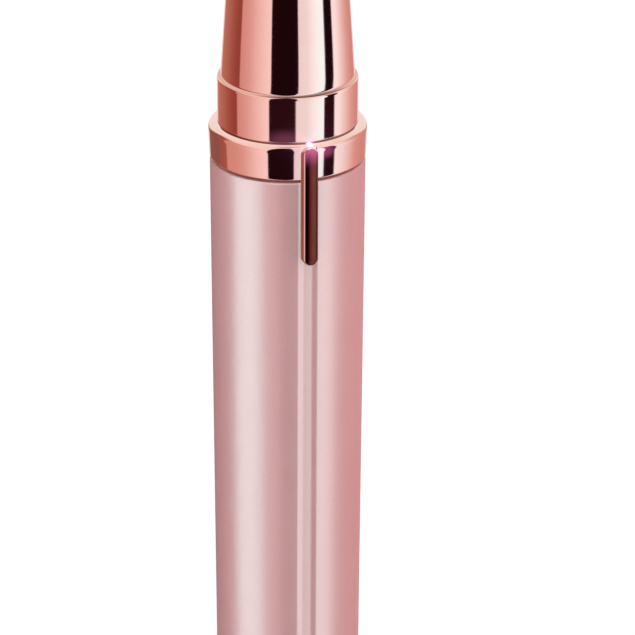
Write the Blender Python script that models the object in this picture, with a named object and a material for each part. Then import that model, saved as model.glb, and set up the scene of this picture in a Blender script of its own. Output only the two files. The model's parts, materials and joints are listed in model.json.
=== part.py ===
# Pen-type electric eyebrow trimmer, standing upright on its flat end cap.
# +Z runs up the pen's axis, the slide switch faces -Y, the origin is the centre of the flat base.
# Dimensions below are in millimetres; MM turns them into metres when a mesh is made.
import math

import bmesh
import bpy
from mathutils import Matrix, Vector

MM = 0.001

# ---------------------------------------------------------------- driving dimensions (mm)
GAP = 0.3                      # clearance between neighbouring pieces

# barrel
BARREL_Z0 = 5.3
BARREL_Z1 = 83.2
BARREL_R0 = 7.36               # outer radius at the bottom
BARREL_R1 = 8.00               # outer radius at the top
BARREL_BORE = 6.35
COUNTERBORE_R = 6.95
COUNTERBORE_Z = 80.2

# straight groove down the switch side
GROOVE_DEPTH = 0.50
GROOVE_FLOOR_HALF = 0.74
GROOVE_MOUTH_HALF = 1.03

# collar
COLLAR_Z0 = 83.5
COLLAR_Z1 = 87.1
COLLAR_R = 8.15
COLLAR_R_LOW = 8.05
SHOULDER_R = 0.65

# neck: base step, cap seat, taper, spigot for the head
STEP_R = 7.25
STEP_Z1 = 92.1
SEAT_R = 4.95
SEAT_Z1 = 97.5
NECK_TOP_R = 3.6
NECK_Z1 = 111.0
SPIGOT_R = 2.9
SPIGOT_Z1 = 113.0

# cap
CAP_Z0 = 92.4
CAP_Z1 = 129.0
CAP_R0 = 6.87
CAP_SLOPE = 0.066
CAP_WALL = 0.65
CAP_SHOULDER_Z = 126.4

# slide switch
BAR_Z0 = 74.4
BAR_Z1 = 87.2
BAR_TRAVEL = 3.0
BAR_BASE_R = 7.72
BAR_TOP_R = 9.20
BAR_HALF = 0.97
STEM_Z0 = 78.4
STEM_Z1 = 79.6

# light
LENS_R = 0.55
LENS_Y = -7.30
LENS_Z = 87.5

# motor
MOTOR_R = 4.0
MOTOR_WALL = 0.35
MOTOR_Z0 = 83.8
MOTOR_Z1 = 99.3
SHAFT_R = 0.5

# battery (AAA size)
CELL_R = 5.25
CELL_Z0 = 10.0
CELL_Z1 = 53.7
CELL_NUB_R = 1.9
CELL_NUB_Z1 = 54.5

# inner frame
FRAME_R = 5.95
FRAME_BORE = 5.5
FRAME_Z0 = 11.3
FRAME_Z1 = 83.2

# ---------------------------------------------------------------- scene
for obj in list(bpy.data.objects):
    bpy.data.objects.remove(obj, do_unlink=True)


def empty(name, location=(0, 0, 0), parent=None):
    e = bpy.data.objects.new(name, None)
    e.empty_display_size = 0.005
    bpy.context.scene.collection.objects.link(e)
    e.location = [c * MM for c in location]
    e.parent = parent
    return e


MATERIALS = {}


def material(name, rgb, roughness, metallic):
    m = bpy.data.materials.new(name)
    m.use_nodes = True
    shader = m.node_tree.nodes["Principled BSDF"]
    shader.inputs["Base Color"].default_value = (rgb[0], rgb[1], rgb[2], 1.0)
    shader.inputs["Roughness"].default_value = roughness
    shader.inputs["Metallic"].default_value = metallic
    m.diffuse_color = (rgb[0], rgb[1], rgb[2], 1.0)
    MATERIALS[name] = m
    return m


ROSE_CHROME = (0.80, 0.42, 0.34)
PEARL_PINK = (0.72, 0.47, 0.46)
GOLD = (0.86, 0.60, 0.28)
STEEL = (0.62, 0.62, 0.64)
BRASS = (0.72, 0.55, 0.28)
WHITE_PLASTIC = (0.82, 0.82, 0.80)
BLACK_PLASTIC = (0.03, 0.03, 0.035)


def node(name, bm, rgb, roughness, metallic, parent=None, smooth=35.0):
    """One closed mesh, given in millimetres in the part's frame, as one named object."""
    bmesh.ops.remove_doubles(bm, verts=bm.verts, dist=1e-5)
    bmesh.ops.recalc_face_normals(bm, faces=bm.faces)
    for v in bm.verts:
        v.co *= MM
    mesh = bpy.data.meshes.new(name)
    bm.to_mesh(mesh)
    bm.free()
    mesh.shade_smooth()
    mesh.set_sharp_from_angle(angle=math.radians(smooth))
    obj = bpy.data.objects.new(name, mesh)
    bpy.context.scene.collection.objects.link(obj)
    mesh.materials.append(material(name, rgb, roughness, metallic))
    if parent is not None:
        obj.parent = parent
        origin = Vector(parent.location)
        mesh.transform(Matrix.Translation(-origin))
    return obj


def cutter(name, bm, target, operation="DIFFERENCE"):
    """A guide solid and the Boolean that uses it on the target."""
    bmesh.ops.remove_doubles(bm, verts=bm.verts, dist=1e-5)
    bmesh.ops.recalc_face_normals(bm, faces=bm.faces)
    for v in bm.verts:
        v.co *= MM
    mesh = bpy.data.meshes.new(name)
    bm.to_mesh(mesh)
    bm.free()
    obj = bpy.data.objects.new(name, mesh)
    bpy.context.scene.collection.objects.link(obj)
    obj.hide_render = True
    obj.display_type = "WIRE"
    if target.parent is not None:
        obj.parent = target.parent
        mesh.transform(Matrix.Translation(-Vector(target.parent.location)))
    mod = target.modifiers.new(name, "BOOLEAN")
    mod.operation = operation
    mod.solver = "EXACT"
    mod.object = obj
    return obj


# ---------------------------------------------------------------- shape helpers (mm)
def turned(profile, segments=48, closed=True):
    """Solid of revolution about Z from (radius, height) points; closed=False runs from axis to axis."""
    bm = bmesh.new()
    rings = []
    for r, z in profile:
        if r < 1e-6:
            rings.append([bm.verts.new((0.0, 0.0, z))])
        else:
            ring = []
            for i in range(segments):
                a = 2 * math.pi * i / segments
                ring.append(bm.verts.new((r * math.cos(a), r * math.sin(a), z)))
            rings.append(ring)
    pairs = list(zip(rings[:-1], rings[1:]))
    if closed:
        pairs.append((rings[-1], rings[0]))
    for a, b in pairs:
        if len(a) == 1 and len(b) == 1:
            continue
        for i in range(segments):
            j = (i + 1) % segments
            if len(a) == 1:
                bm.faces.new((a[0], b[i], b[j]))
            elif len(b) == 1:
                bm.faces.new((a[i], a[j], b[0]))
            else:
                bm.faces.new((a[i], a[j], b[j], b[i]))
    return bm


def block(x0, x1, y0, y1, z0, z1, bm=None):
    bm = bm or bmesh.new()
    corners = [bm.verts.new((x, y, z)) for z in (z0, z1) for y in (y0, y1) for x in (x0, x1)]
    for f in ((0, 2, 3, 1), (4, 5, 7, 6), (0, 1, 5, 4), (2, 6, 7, 3), (0, 4, 6, 2), (1, 3, 7, 5)):
        bm.faces.new([corners[i] for i in f])
    return bm


def plate_with_holes(x0, x1, z0, z1, y0, y1, holes):
    """A flat plate in the XZ plane, as a grid of cells with some cells left open."""
    xs = sorted({x0, x1, *[h[0] for h in holes], *[h[1] for h in holes]})
    zs = sorted({z0, z1, *[h[2] for h in holes], *[h[3] for h in holes]})
    bm = bmesh.new()
    front = {(i, k): bm.verts.new((x, y0, z)) for i, x in enumerate(xs) for k, z in enumerate(zs)}
    back = {(i, k): bm.verts.new((x, y1, z)) for i, x in enumerate(xs) for k, z in enumerate(zs)}

    def solid(i, k):
        if not (0 <= i < len(xs) - 1 and 0 <= k < len(zs) - 1):
            return False
        cx, cz = (xs[i] + xs[i + 1]) / 2, (zs[k] + zs[k + 1]) / 2
        return not any(h[0] < cx < h[1] and h[2] < cz < h[3] for h in holes)

    for i in range(len(xs) - 1):
        for k in range(len(zs) - 1):
            if not solid(i, k):
                continue
            bm.faces.new((front[i, k], front[i + 1, k], front[i + 1, k + 1], front[i, k + 1]))
            bm.faces.new((back[i, k], back[i, k + 1], back[i + 1, k + 1], back[i + 1, k]))
            if not solid(i - 1, k):
                bm.faces.new((front[i, k], front[i, k + 1], back[i, k + 1], back[i, k]))
            if not solid(i + 1, k):
                bm.faces.new((front[i + 1, k], back[i + 1, k], back[i + 1, k + 1], front[i + 1, k + 1]))
            if not solid(i, k - 1):
                bm.faces.new((front[i, k], back[i, k], back[i + 1, k], front[i + 1, k]))
            if not solid(i, k + 1):
                bm.faces.new((front[i, k + 1], front[i + 1, k + 1], back[i + 1, k + 1], back[i, k + 1]))
    bmesh.ops.delete(bm, geom=[v for v in bm.verts if not v.link_faces], context="VERTS")
    return bm


def rod(p0, p1, r0, r1=None, sides=16, bm=None):
    """A straight round rod between two points, its end radii r0 and r1."""
    return tube([p0, p1], r0, sides, bm, r1)


def tube(points, radius, sides=8, bm=None, radius_end=None):
    """A round tube with flat ends along a line of points."""
    bm = bm or bmesh.new()
    pts = [Vector(p) for p in points]
    tangents = []
    for i in range(len(pts)):
        a = pts[max(i - 1, 0)]
        b = pts[min(i + 1, len(pts) - 1)]
        tangents.append((b - a).normalized())
    side = tangents[0].orthogonal().normalized()
    rings = []
    for i, (p, t) in enumerate(zip(pts, tangents)):
        side = (side - t * side.dot(t)).normalized()
        up = t.cross(side)
        r = radius
        if radius_end is not None:
            r = radius + (radius_end - radius) * i / (len(pts) - 1)
        rings.append([
            bm.verts.new(p + (side * math.cos(2 * math.pi * k / sides) + up * math.sin(2 * math.pi * k / sides)) * r)
            for k in range(sides)
        ])
    for a, b in zip(rings[:-1], rings[1:]):
        for k in range(sides):
            j = (k + 1) % sides
            bm.faces.new((a[k], a[j], b[j], b[k]))
    bm.faces.new(list(reversed(rings[0])))
    bm.faces.new(rings[-1])
    return bm


def smooth_route(points, per_span=5):
    """Points along a smooth curve through the given points."""
    pts = [Vector(p) for p in points]
    pts = [pts[0] * 2 - pts[1]] + pts + [pts[-1] * 2 - pts[-2]]
    out = []
    for i in range(1, len(pts) - 2):
        p0, p1, p2, p3 = pts[i - 1], pts[i], pts[i + 1], pts[i + 2]
        for s in range(per_span):
            t = s / per_span
            out.append(0.5 * (2 * p1 + (p2 - p0) * t + (2 * p0 - 5 * p1 + 4 * p2 - p3) * t * t
                              + (3 * p1 - p0 - 3 * p2 + p3) * t ** 3))
    out.append(pts[-2])
    return out


def arc_block(r0, r1, z0, z1, a0, a1, steps=10):
    """A curved block between two radii and two angles (degrees)."""
    bm = bmesh.new()
    rings = []
    for s in range(steps + 1):
        a = math.radians(a0 + (a1 - a0) * s / steps)
        c, d = math.cos(a), math.sin(a)
        rings.append([bm.verts.new((r * c, r * d, z)) for r, z in ((r0, z0), (r1, z0), (r1, z1), (r0, z1))])
    for a, b in zip(rings[:-1], rings[1:]):
        for k in range(4):
            j = (k + 1) % 4
            bm.faces.new((a[k], a[j], b[j], b[k]))
    bm.faces.new(list(reversed(rings[0])))
    bm.faces.new(rings[-1])
    return bm


def barrel_radius(z):
    return BARREL_R0 + (BARREL_R1 - BARREL_R0) * (z - BARREL_Z0) / (BARREL_Z1 - BARREL_Z0)


def cap_radius(z):
    return CAP_R0 - CAP_SLOPE * (z - CAP_Z0)


def groove_prism(z0, z1, radius_at):
    """The groove's cutting solid: a flat floor and drafted walls, following the taper."""
    bm = bmesh.new()
    slope = (GROOVE_MOUTH_HALF - GROOVE_FLOOR_HALF) / GROOVE_DEPTH
    rings = []
    for z in (z0, z1):
        r = radius_at(z)
        floor = r - GROOVE_DEPTH
        out = r + 1.2
        w = GROOVE_FLOOR_HALF + slope * (out - floor)
        rings.append([bm.verts.new(p) for p in (
            (-GROOVE_FLOOR_HALF, -floor, z), (GROOVE_FLOOR_HALF, -floor, z), (w, -out, z), (-w, -out, z))])
    for k in range(4):
        j = (k + 1) % 4
        bm.faces.new((rings[0][k], rings[0][j], rings[1][j], rings[1][k]))
    bm.faces.new(list(reversed(rings[0])))
    bm.faces.new(rings[1])
    return bm


def capsule_stack(levels, z0, z1, end_steps=8):
    """A bar with round ends, lofted through (radius, half width) levels; it faces -Y."""
    bm = bmesh.new()
    rings = []
    for r, half in levels:
        ring = []
        for s in range(end_steps + 1):
            a = math.pi * s / end_steps
            ring.append(bm.verts.new((half * math.cos(a), -r, z1 - BAR_HALF + half * math.sin(a))))
        for s in range(end_steps + 1):
            a = math.pi + math.pi * s / end_steps
            ring.append(bm.verts.new((half * math.cos(a), -r, z0 + BAR_HALF + half * math.sin(a))))
        rings.append(ring)
    for a, b in zip(rings[:-1], rings[1:]):
        for k in range(len(a)):
            j = (k + 1) % len(a)
            bm.faces.new((a[k], a[j], b[j], b[k]))
    bm.faces.new(rings[0])
    bm.faces.new(list(reversed(rings[-1])))
    return bm


# ---------------------------------------------------------------- axes of the moving groups
axis_cap = empty("axis_cap", (0, 0, CAP_Z0))
axis_switch = empty("axis_switch", (0, -BARREL_R1, BAR_Z0))
axis_rotor = empty("axis_rotor", (0, 0, MOTOR_Z0))
axis_head = empty("axis_head", (0, 0, NECK_Z1))
axis_blades = empty("axis_blades", (0, 0, SPIGOT_Z1))
axis_cover = empty("axis_cover", (0, 0, 116.2))
axis_battery = empty("axis_battery", (0, 0, CELL_Z0))
axis_end_cap = empty("axis_end_cap", (0, 0, BARREL_Z0))

# ---------------------------------------------------------------- barrel and collar
barrel = node("barrel", turned([
    (BARREL_BORE, BARREL_Z0), (BARREL_R0 - 0.25, BARREL_Z0), (barrel_radius(BARREL_Z0 + 0.25), BARREL_Z0 + 0.25),
    (barrel_radius(BARREL_Z1 - 0.25), BARREL_Z1 - 0.25), (BARREL_R1 - 0.22, BARREL_Z1),
    (COUNTERBORE_R, BARREL_Z1), (COUNTERBORE_R, COUNTERBORE_Z), (BARREL_BORE, COUNTERBORE_Z),
], 40), PEARL_PINK, 0.38, 0.35)
cutter("groove_barrel", groove_prism(BARREL_Z0 - 1, BARREL_Z1 + 1, barrel_radius), barrel)
cutter("switch_slot", block(-0.75, 0.75, -9.5, -5.5, STEM_Z0 - BAR_TRAVEL - 0.3, STEM_Z1 + 0.3), barrel)

shoulder = [(COLLAR_R - SHOULDER_R + SHOULDER_R * math.cos(math.radians(a)),
             COLLAR_Z1 - SHOULDER_R + SHOULDER_R * math.sin(math.radians(a))) for a in (0, 30, 60, 90)]
collar = node("collar", turned(
    [(6.95, COLLAR_Z0), (COLLAR_R_LOW - 0.2, COLLAR_Z0), (COLLAR_R_LOW, COLLAR_Z0 + 0.2)]
    + shoulder + [(COLLAR_R - SHOULDER_R, 86.4), (6.95, 86.4)], 40), ROSE_CHROME, 0.06, 1.0)
cutter("groove_collar", groove_prism(COLLAR_Z0 - 1, COLLAR_Z1 + 1, lambda z: BARREL_R1 - 0.02), collar)

# the lens points up and out at 45 degrees, through the joint of collar and neck
LENS_DIR = Vector((0, -math.sqrt(0.5), math.sqrt(0.5)))
LENS_POINT = Vector((0, LENS_Y, LENS_Z))


def along_lens(s):
    return LENS_POINT + LENS_DIR * s


cutter("light_hole_collar", rod(along_lens(-1.2), along_lens(2.0), LENS_R + 0.28, sides=20), collar)

# ---------------------------------------------------------------- neck
neck = node("neck", turned([
    (6.2, 80.5), (6.65, 80.5), (6.65, 86.7), (STEP_R, 86.7), (STEP_R, STEP_Z1 - 0.3), (STEP_R - 0.09, STEP_Z1 - 0.09),
    (STEP_R - 0.3, STEP_Z1), (SEAT_R, STEP_Z1), (SEAT_R, SEAT_Z1), (NECK_TOP_R, NECK_Z1), (SPIGOT_R, NECK_Z1),
    (SPIGOT_R, SPIGOT_Z1), (2.0, SPIGOT_Z1), (2.0, 99.9), (4.25, 99.9), (4.25, 90.5), (6.2, 90.5),
], 40), ROSE_CHROME, 0.06, 1.0)
cutter("light_hole_neck", rod(along_lens(-2.4), along_lens(1.6), LENS_R + 0.27, sides=20), neck)

# ---------------------------------------------------------------- cap
dome = []
for s in range(1, 6):
    a = math.radians(90 * s / 5)
    r_edge = cap_radius(CAP_SHOULDER_Z)
    dome.append((0.0 if s == 5 else r_edge * math.cos(a) ** 0.55,
                 CAP_SHOULDER_Z + (CAP_Z1 - CAP_SHOULDER_Z) * math.sin(a) ** 1.05))
inner = []
for s in range(0, 4):
    a = math.radians(90 * (3 - s) / 3)
    r_edge = cap_radius(CAP_SHOULDER_Z) - CAP_WALL
    inner.append((0.0 if s == 0 else r_edge * math.cos(a) ** 0.6,
                  CAP_SHOULDER_Z - 0.6 + (CAP_Z1 - CAP_SHOULDER_Z - 0.2) * math.sin(a) ** 1.05))
outer = [(CAP_R0 - CAP_WALL, CAP_Z0), (CAP_R0 - 0.16, CAP_Z0), (cap_radius(CAP_Z0 + 0.15), CAP_Z0 + 0.15),
         (cap_radius(CAP_SHOULDER_Z), CAP_SHOULDER_Z)] + dome
cap_shell = node("cap_shell", turned(list(reversed(outer)) + list(reversed(inner)), 40, closed=False),
                 ROSE_CHROME, 0.06, 1.0, axis_cap)

LINER_Z0, LINER_Z1 = CAP_Z0 + 0.35, 97.2
cap_liner = node("cap_liner", turned([
    (5.2, LINER_Z0), (cap_radius(LINER_Z0) - CAP_WALL - 0.25, LINER_Z0),
    (cap_radius(LINER_Z1) - CAP_WALL - 0.25, LINER_Z1), (5.2, LINER_Z1),
], 32), WHITE_PLASTIC, 0.4, 0.0, axis_cap)

# ---------------------------------------------------------------- slide switch
switch_button = node("switch_button", capsule_stack([
    (BAR_BASE_R, 0.62), (7.95, 0.80), (8.12, BAR_HALF), (8.60, 0.93), (8.95, 0.82), (9.13, 0.66), (BAR_TOP_R, 0.44),
], BAR_Z0, BAR_Z1), ROSE_CHROME, 0.07, 1.0, axis_switch)
cutter("button_stem", block(-0.45, 0.45, -7.95, -5.2, STEM_Z0, STEM_Z1), switch_button, "UNION")

switch_carriage = node("switch_carriage", plate_with_holes(
    -1.7, 1.7, 73.9, 80.2, -5.75, -5.15, [(-0.85, 0.85, 74.6, 77.2), (-0.85, 0.85, 77.7, 79.9)]),
    WHITE_PLASTIC, 0.45, 0.0, axis_switch)
switch_actuator = node("switch_actuator", block(-0.55, 0.55, -5.6, -4.0, 74.9, 76.9),
                       BLACK_PLASTIC, 0.5, 0.0, axis_switch)
switch_body = node("switch_body", block(-2.0, 2.0, -4.9, -2.9, 70.9, 78.9), STEEL, 0.35, 0.9)
cutter("actuator_slot", block(-0.85, 0.85, -5.5, -3.7, 71.5, 77.3), switch_body)

circuit_board = node("circuit_board", block(-4.4, 4.4, -2.6, -1.8, 61.0, 79.8), (0.05, 0.25, 0.12), 0.5, 0.0)
resistor = node("resistor", block(-3.2, -1.6, -3.4, -2.9, 65.6, 66.4), BLACK_PLASTIC, 0.5, 0.0)

# ---------------------------------------------------------------- light
lens_bm = bmesh.new()
lens_points = [(along_lens(-1.9), LENS_R), (along_lens(0.0), LENS_R)]
for a in (30, 55, 78):
    lens_points.append((along_lens(LENS_R * math.sin(math.radians(a))), LENS_R * math.cos(math.radians(a))))
rings = []
for p, r in lens_points:
    u = Vector((1, 0, 0))
    w = LENS_DIR.cross(u)
    rings.append([lens_bm.verts.new(p + (u * math.cos(2 * math.pi * k / 20) + w * math.sin(2 * math.pi * k / 20)) * r)
                  for k in range(20)])
for a, b in zip(rings[:-1], rings[1:]):
    for k in range(20):
        lens_bm.faces.new((a[k], a[(k + 1) % 20], b[(k + 1) % 20], b[k]))
lens_bm.faces.new(list(reversed(rings[0])))
lens_bm.faces.new(rings[-1])
led_lens = node("led_lens", lens_bm, (0.95, 0.92, 0.98), 0.1, 0.0)

led = node("led", block(-0.9, 0.9, -5.9, -4.4, 84.3, 85.65), (0.9, 0.9, 0.85), 0.3, 0.0)
cutter("led_leads", block(0.35, 0.65, -4.9, -4.6, 79.3, 84.6,
                          block(-0.65, -0.35, -4.9, -4.6, 79.3, 84.6)), led, "UNION")
cutter("led_feet", block(0.34, 0.66, -4.89, -2.9, 79.25, 79.55,
                         block(-0.66, -0.34, -4.89, -2.9, 79.25, 79.55)), led, "UNION")

# ---------------------------------------------------------------- inner frame, two halves
FRAME_PROFILE = [
    (FRAME_R, FRAME_Z0), (FRAME_R, FRAME_Z1), (0.0, FRAME_Z1), (0.0, 80.4), (FRAME_BORE, 80.4),
    (FRAME_BORE, 60.2), (0.0, 60.2), (0.0, 55.8), (FRAME_BORE, 55.8), (FRAME_BORE, FRAME_Z0),
]


def half_frame(sign):
    """Half of the frame's turned shape, from a split face 0.15 mm off the axis plane."""
    steps = 20
    bm = bmesh.new()
    rings = []
    for s in range(steps + 1):
        a = math.pi * s / steps
        rings.append([bm.verts.new((r * math.cos(a), sign * (r * math.sin(a) * (1 - 0.15 / FRAME_R) + 0.15), z))
                      for r, z in FRAME_PROFILE])
    n = len(FRAME_PROFILE)
    for a, b in zip(rings[:-1], rings[1:]):
        for k in range(n):
            j = (k + 1) % n
            if FRAME_PROFILE[k][0] == 0.0 and FRAME_PROFILE[j][0] == 0.0:
                continue
            if FRAME_PROFILE[k][0] == 0.0:
                bm.faces.new((a[k], a[j], b[j]))
            elif FRAME_PROFILE[j][0] == 0.0:
                bm.faces.new((a[k], a[j], b[k]))
            else:
                bm.faces.new((a[k], a[j], b[j], b[k]))
    bmesh.ops.remove_doubles(bm, verts=bm.verts, dist=1e-5)
    bmesh.ops.delete(bm, geom=[v for v in bm.verts if not v.link_faces], context="VERTS")
    bmesh.ops.triangle_fill(bm, edges=[e for e in bm.edges if e.is_boundary], use_beauty=True)
    return bm


chassis_front = node("chassis_front", half_frame(-1), WHITE_PLASTIC, 0.5, 0.0)
chassis_rear = node("chassis_rear", half_frame(1), WHITE_PLASTIC, 0.5, 0.0)
cutter("switch_window", block(-2.4, 2.4, -7.0, -4.3, 70.0, 84.0), chassis_front)
SCREW_Z = (58.0, 81.8)
for half, tag in ((chassis_front, "front"), (chassis_rear, "rear")):
    cutter("strip_slot_" + tag, block(5.3, 6.5, -1.1, 1.1, 11.0, 62.6), half)
    for side in (-1, 1):
        cutter("wire_hole_%s_%s" % (tag, "left" if side < 0 else "right"),
               rod((side * 2.35, 0, 80.0), (side * 2.35, 0, 83.6), 0.7, sides=8), half)
    for z, level in zip(SCREW_Z, ("lower", "upper")):
        cutter("screw_hole_%s_%s" % (tag, level), rod((0, -3.8, z), (0, 5.0, z), 0.85, sides=10), half)
for z, level in zip(SCREW_Z, ("lower", "upper")):
    cutter("screw_recess_" + level, rod((0, 4.3, z), (0, 7.0, z), 1.4, sides=12), chassis_rear)
cutter("wire_hole_battery", rod((-2.6, 2.2, 55.0), (-2.6, 2.2, 61.0), 0.7, sides=8), chassis_rear)


def screw(name, z):
    bm = bmesh.new()
    profile = [(0.0, -3.4), (0.3, -3.4), (0.55, -2.9), (0.55, 4.6), (1.1, 4.6), (1.1, 5.0), (0.8, 5.25), (0.0, 5.35)]
    rings = []
    for r, y in profile:
        if r == 0.0:
            rings.append([bm.verts.new((0, y, z))])
        else:
            rings.append([bm.verts.new((r * math.cos(2 * math.pi * k / 12), y, z + r * math.sin(2 * math.pi * k / 12)))
                          for k in range(12)])
    for a, b in zip(rings[:-1], rings[1:]):
        for k in range(12):
            j = (k + 1) % 12
            if len(a) == 1:
                bm.faces.new((a[0], b[j], b[k]))
            elif len(b) == 1:
                bm.faces.new((a[k], a[j], b[0]))
            else:
                bm.faces.new((a[k], a[j], b[j], b[k]))
    obj = node(name, bm, STEEL, 0.3, 1.0)
    cutter(name + "_drive", block(-0.75, 0.75, 5.05, 6.0, z - 0.12, z + 0.12), obj)
    return obj


screw("chassis_screw_lower", SCREW_Z[0])
screw("chassis_screw_upper", SCREW_Z[1])

# ---------------------------------------------------------------- battery, contacts, wires
battery_cell = node("battery_cell", turned([
    (0.0, CELL_Z0), (CELL_R - 0.3, CELL_Z0), (CELL_R, CELL_Z0 + 0.3), (CELL_R, CELL_Z1 - 0.3), (CELL_R - 0.3, CELL_Z1),
    (CELL_NUB_R + 0.3, CELL_Z1), (CELL_NUB_R + 0.3, CELL_Z1 - 0.4), (0.0, CELL_Z1 - 0.4),
], 32, closed=False), (0.10, 0.12, 0.16), 0.35, 0.4, axis_battery)
battery_terminal = node("battery_terminal", turned([
    (0.0, CELL_Z1 - 0.1), (CELL_NUB_R, CELL_Z1 - 0.1), (CELL_NUB_R, CELL_NUB_Z1 - 0.15),
    (CELL_NUB_R - 0.15, CELL_NUB_Z1), (0.0, CELL_NUB_Z1),
], 24, closed=False), STEEL, 0.25, 1.0, axis_battery)

positive_contact = node("positive_contact", turned([
    (0.0, 54.8), (1.4, 54.8), (1.9, 55.0), (5.2, 55.0), (5.2, 55.25), (1.8, 55.25), (1.3, 55.05), (0.0, 55.05),
], 24, closed=False), BRASS, 0.3, 1.0)
negative_strip = node("negative_strip", block(5.55, 5.85, -0.8, 0.8, 11.5, 62.0), BRASS, 0.3, 1.0)
cutter("strip_arm", block(4.6, 5.7, -0.75, 0.6, 61.65, 61.95), negative_strip, "UNION")
cutter("strip_pad", block(3.6, 4.8, -1.5, 0.55, 61.7, 62.0), negative_strip, "UNION")

wire_battery = node("wire_battery", tube(smooth_route([
    (-2.6, 2.2, 55.6), (-2.6, 2.2, 58.5), (-2.6, 2.0, 61.0), (-2.6, 0.6, 62.6), (-2.6, -1.1, 64.0), (-2.6, -1.1, 66.0),
], 2), 0.35, 6), (0.6, 0.03, 0.03), 0.5, 0.0)
for side, name, rgb in ((-1, "wire_motor_red", (0.6, 0.03, 0.03)), (1, "wire_motor_black", BLACK_PLASTIC)):
    node(name, tube(smooth_route([
        (side * 3.0, -1.1, 75.5), (side * 2.9, -0.9, 77.5), (side * 2.5, 0.0, 79.6), (side * 2.35, 0.0, 81.5),
        (side * 2.35, 0.0, 83.15),
    ], 2), 0.35, 6), rgb, 0.5, 0.0)

# ---------------------------------------------------------------- end cap with its spring
end_cap = node("end_cap", turned([
    (0.0, 0.0), (6.15, 0.0), (6.78, 0.16), (7.19, 0.60), (7.31, 1.20), (7.35, 4.8), (7.12, 5.0),
    (6.05, 5.0), (6.05, 6.2), (5.6, 6.2), (5.6, 7.2), (6.05, 7.2), (6.0, 10.5), (5.5, 10.5),
    (5.5, 9.6), (5.1, 9.6), (5.1, 3.6), (0.0, 3.6),
], 40, closed=False), PEARL_PINK, 0.38, 0.35, axis_end_cap)
cutter("strip_notch", block(4.9, 6.5, -1.1, 1.1, 8.9, 11.0), end_cap)

ring_bm = bmesh.new()
ring_rings = []
for i in range(28):
    a = 2 * math.pi * i / 28
    ring_rings.append([ring_bm.verts.new(((5.93 + 0.28 * math.cos(b)) * math.cos(a), (5.93 + 0.28 * math.cos(b)) * math.sin(a),
                                          6.7 + 0.34 * math.sin(b)))
                       for b in [2 * math.pi * k / 6 for k in range(6)]])
for i in range(28):
    a, b = ring_rings[i], ring_rings[(i + 1) % 28]
    for k in range(6):
        j = (k + 1) % 6
        ring_bm.faces.new((a[k], a[j], b[j], b[k]))
end_cap_o_ring = node("end_cap_o_ring", ring_bm, BLACK_PLASTIC, 0.7, 0.0, axis_end_cap)

spring_plate = node("spring_plate", turned([
    (0.0, 3.9), (4.75, 3.9), (4.75, 4.2), (0.0, 4.2)], 24, closed=False), BRASS, 0.3, 1.0, axis_end_cap)
cutter("plate_riser", block(4.45, 4.75, -0.8, 0.8, 3.95, 9.45), spring_plate, "UNION")
cutter("plate_arm", block(4.5, 5.8, -0.75, 0.75, 9.2, 9.5), spring_plate, "UNION")
cutter("plate_tip", block(5.55, 5.85, -0.7, 0.7, 9.25, 11.2), spring_plate, "UNION")

turns = 4.5
coil = []
for i in range(int(turns * 10) + 1):
    t = i / (turns * 10)
    r = 3.75 - 1.55 * t
    a = 2 * math.pi * turns * t
    rise = min(max((t - 0.12) / 0.76, 0.0), 1.0)
    coil.append((r * math.cos(a), r * math.sin(a), 4.85 + 4.5 * (0.12 * t + 0.88 * rise)))
battery_spring = node("battery_spring", tube(coil, 0.27, 5), STEEL, 0.25, 1.0, axis_end_cap)

# ---------------------------------------------------------------- motor
motor_can = node("motor_can", turned([
    (MOTOR_R - MOTOR_WALL, MOTOR_Z0), (MOTOR_R, MOTOR_Z0), (MOTOR_R, MOTOR_Z1 - 0.3), (MOTOR_R - 0.3, MOTOR_Z1),
    (1.3, MOTOR_Z1), (1.3, MOTOR_Z1 - 0.45), (MOTOR_R - MOTOR_WALL, MOTOR_Z1 - 0.45),
], 32), STEEL, 0.25, 1.0)
motor_end_bell = node("motor_end_bell", turned([
    (0.75, 84.0), (3.4, 84.0), (3.4, 85.0), (0.75, 85.0)], 24), WHITE_PLASTIC, 0.5, 0.0)
motor_bush = node("motor_bush", turned([
    (0.72, 98.6), (1.05, 98.6), (1.05, 99.7), (0.72, 99.7)], 16), BRASS, 0.3, 1.0)
for side, tag in ((-1, "left"), (1, "right")):
    node("magnet_" + tag, arc_block(2.65, 3.37, 88.0, 97.2, -62 + (180 if side < 0 else 0), 62 + (180 if side < 0 else 0)),
         (0.12, 0.12, 0.13), 0.5, 0.5)
    x0, x1 = sorted((side * 1.40, side * 1.75))
    brush = node("brush_" + tag, block(x0, x1, -0.45, 0.45, 85.4, 87.2), BRASS, 0.3, 1.0)
    x0, x1 = sorted((side * 1.5, side * 2.45))
    cutter("brush_bridge_" + tag, block(x0, x1, -0.35, 0.35, 86.2, 86.6), brush, "UNION")
    x0, x1 = sorted((side * 2.2, side * 2.5))
    cutter("brush_terminal_" + tag, block(x0, x1, -0.4, 0.4, 83.5, 86.7), brush, "UNION")
    x0, x1 = sorted((side * 1.95, side * 2.75))
    cutter("terminal_slot_" + tag, block(x0, x1, -0.65, 0.65, 83.5, 85.5), motor_end_bell)

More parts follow.
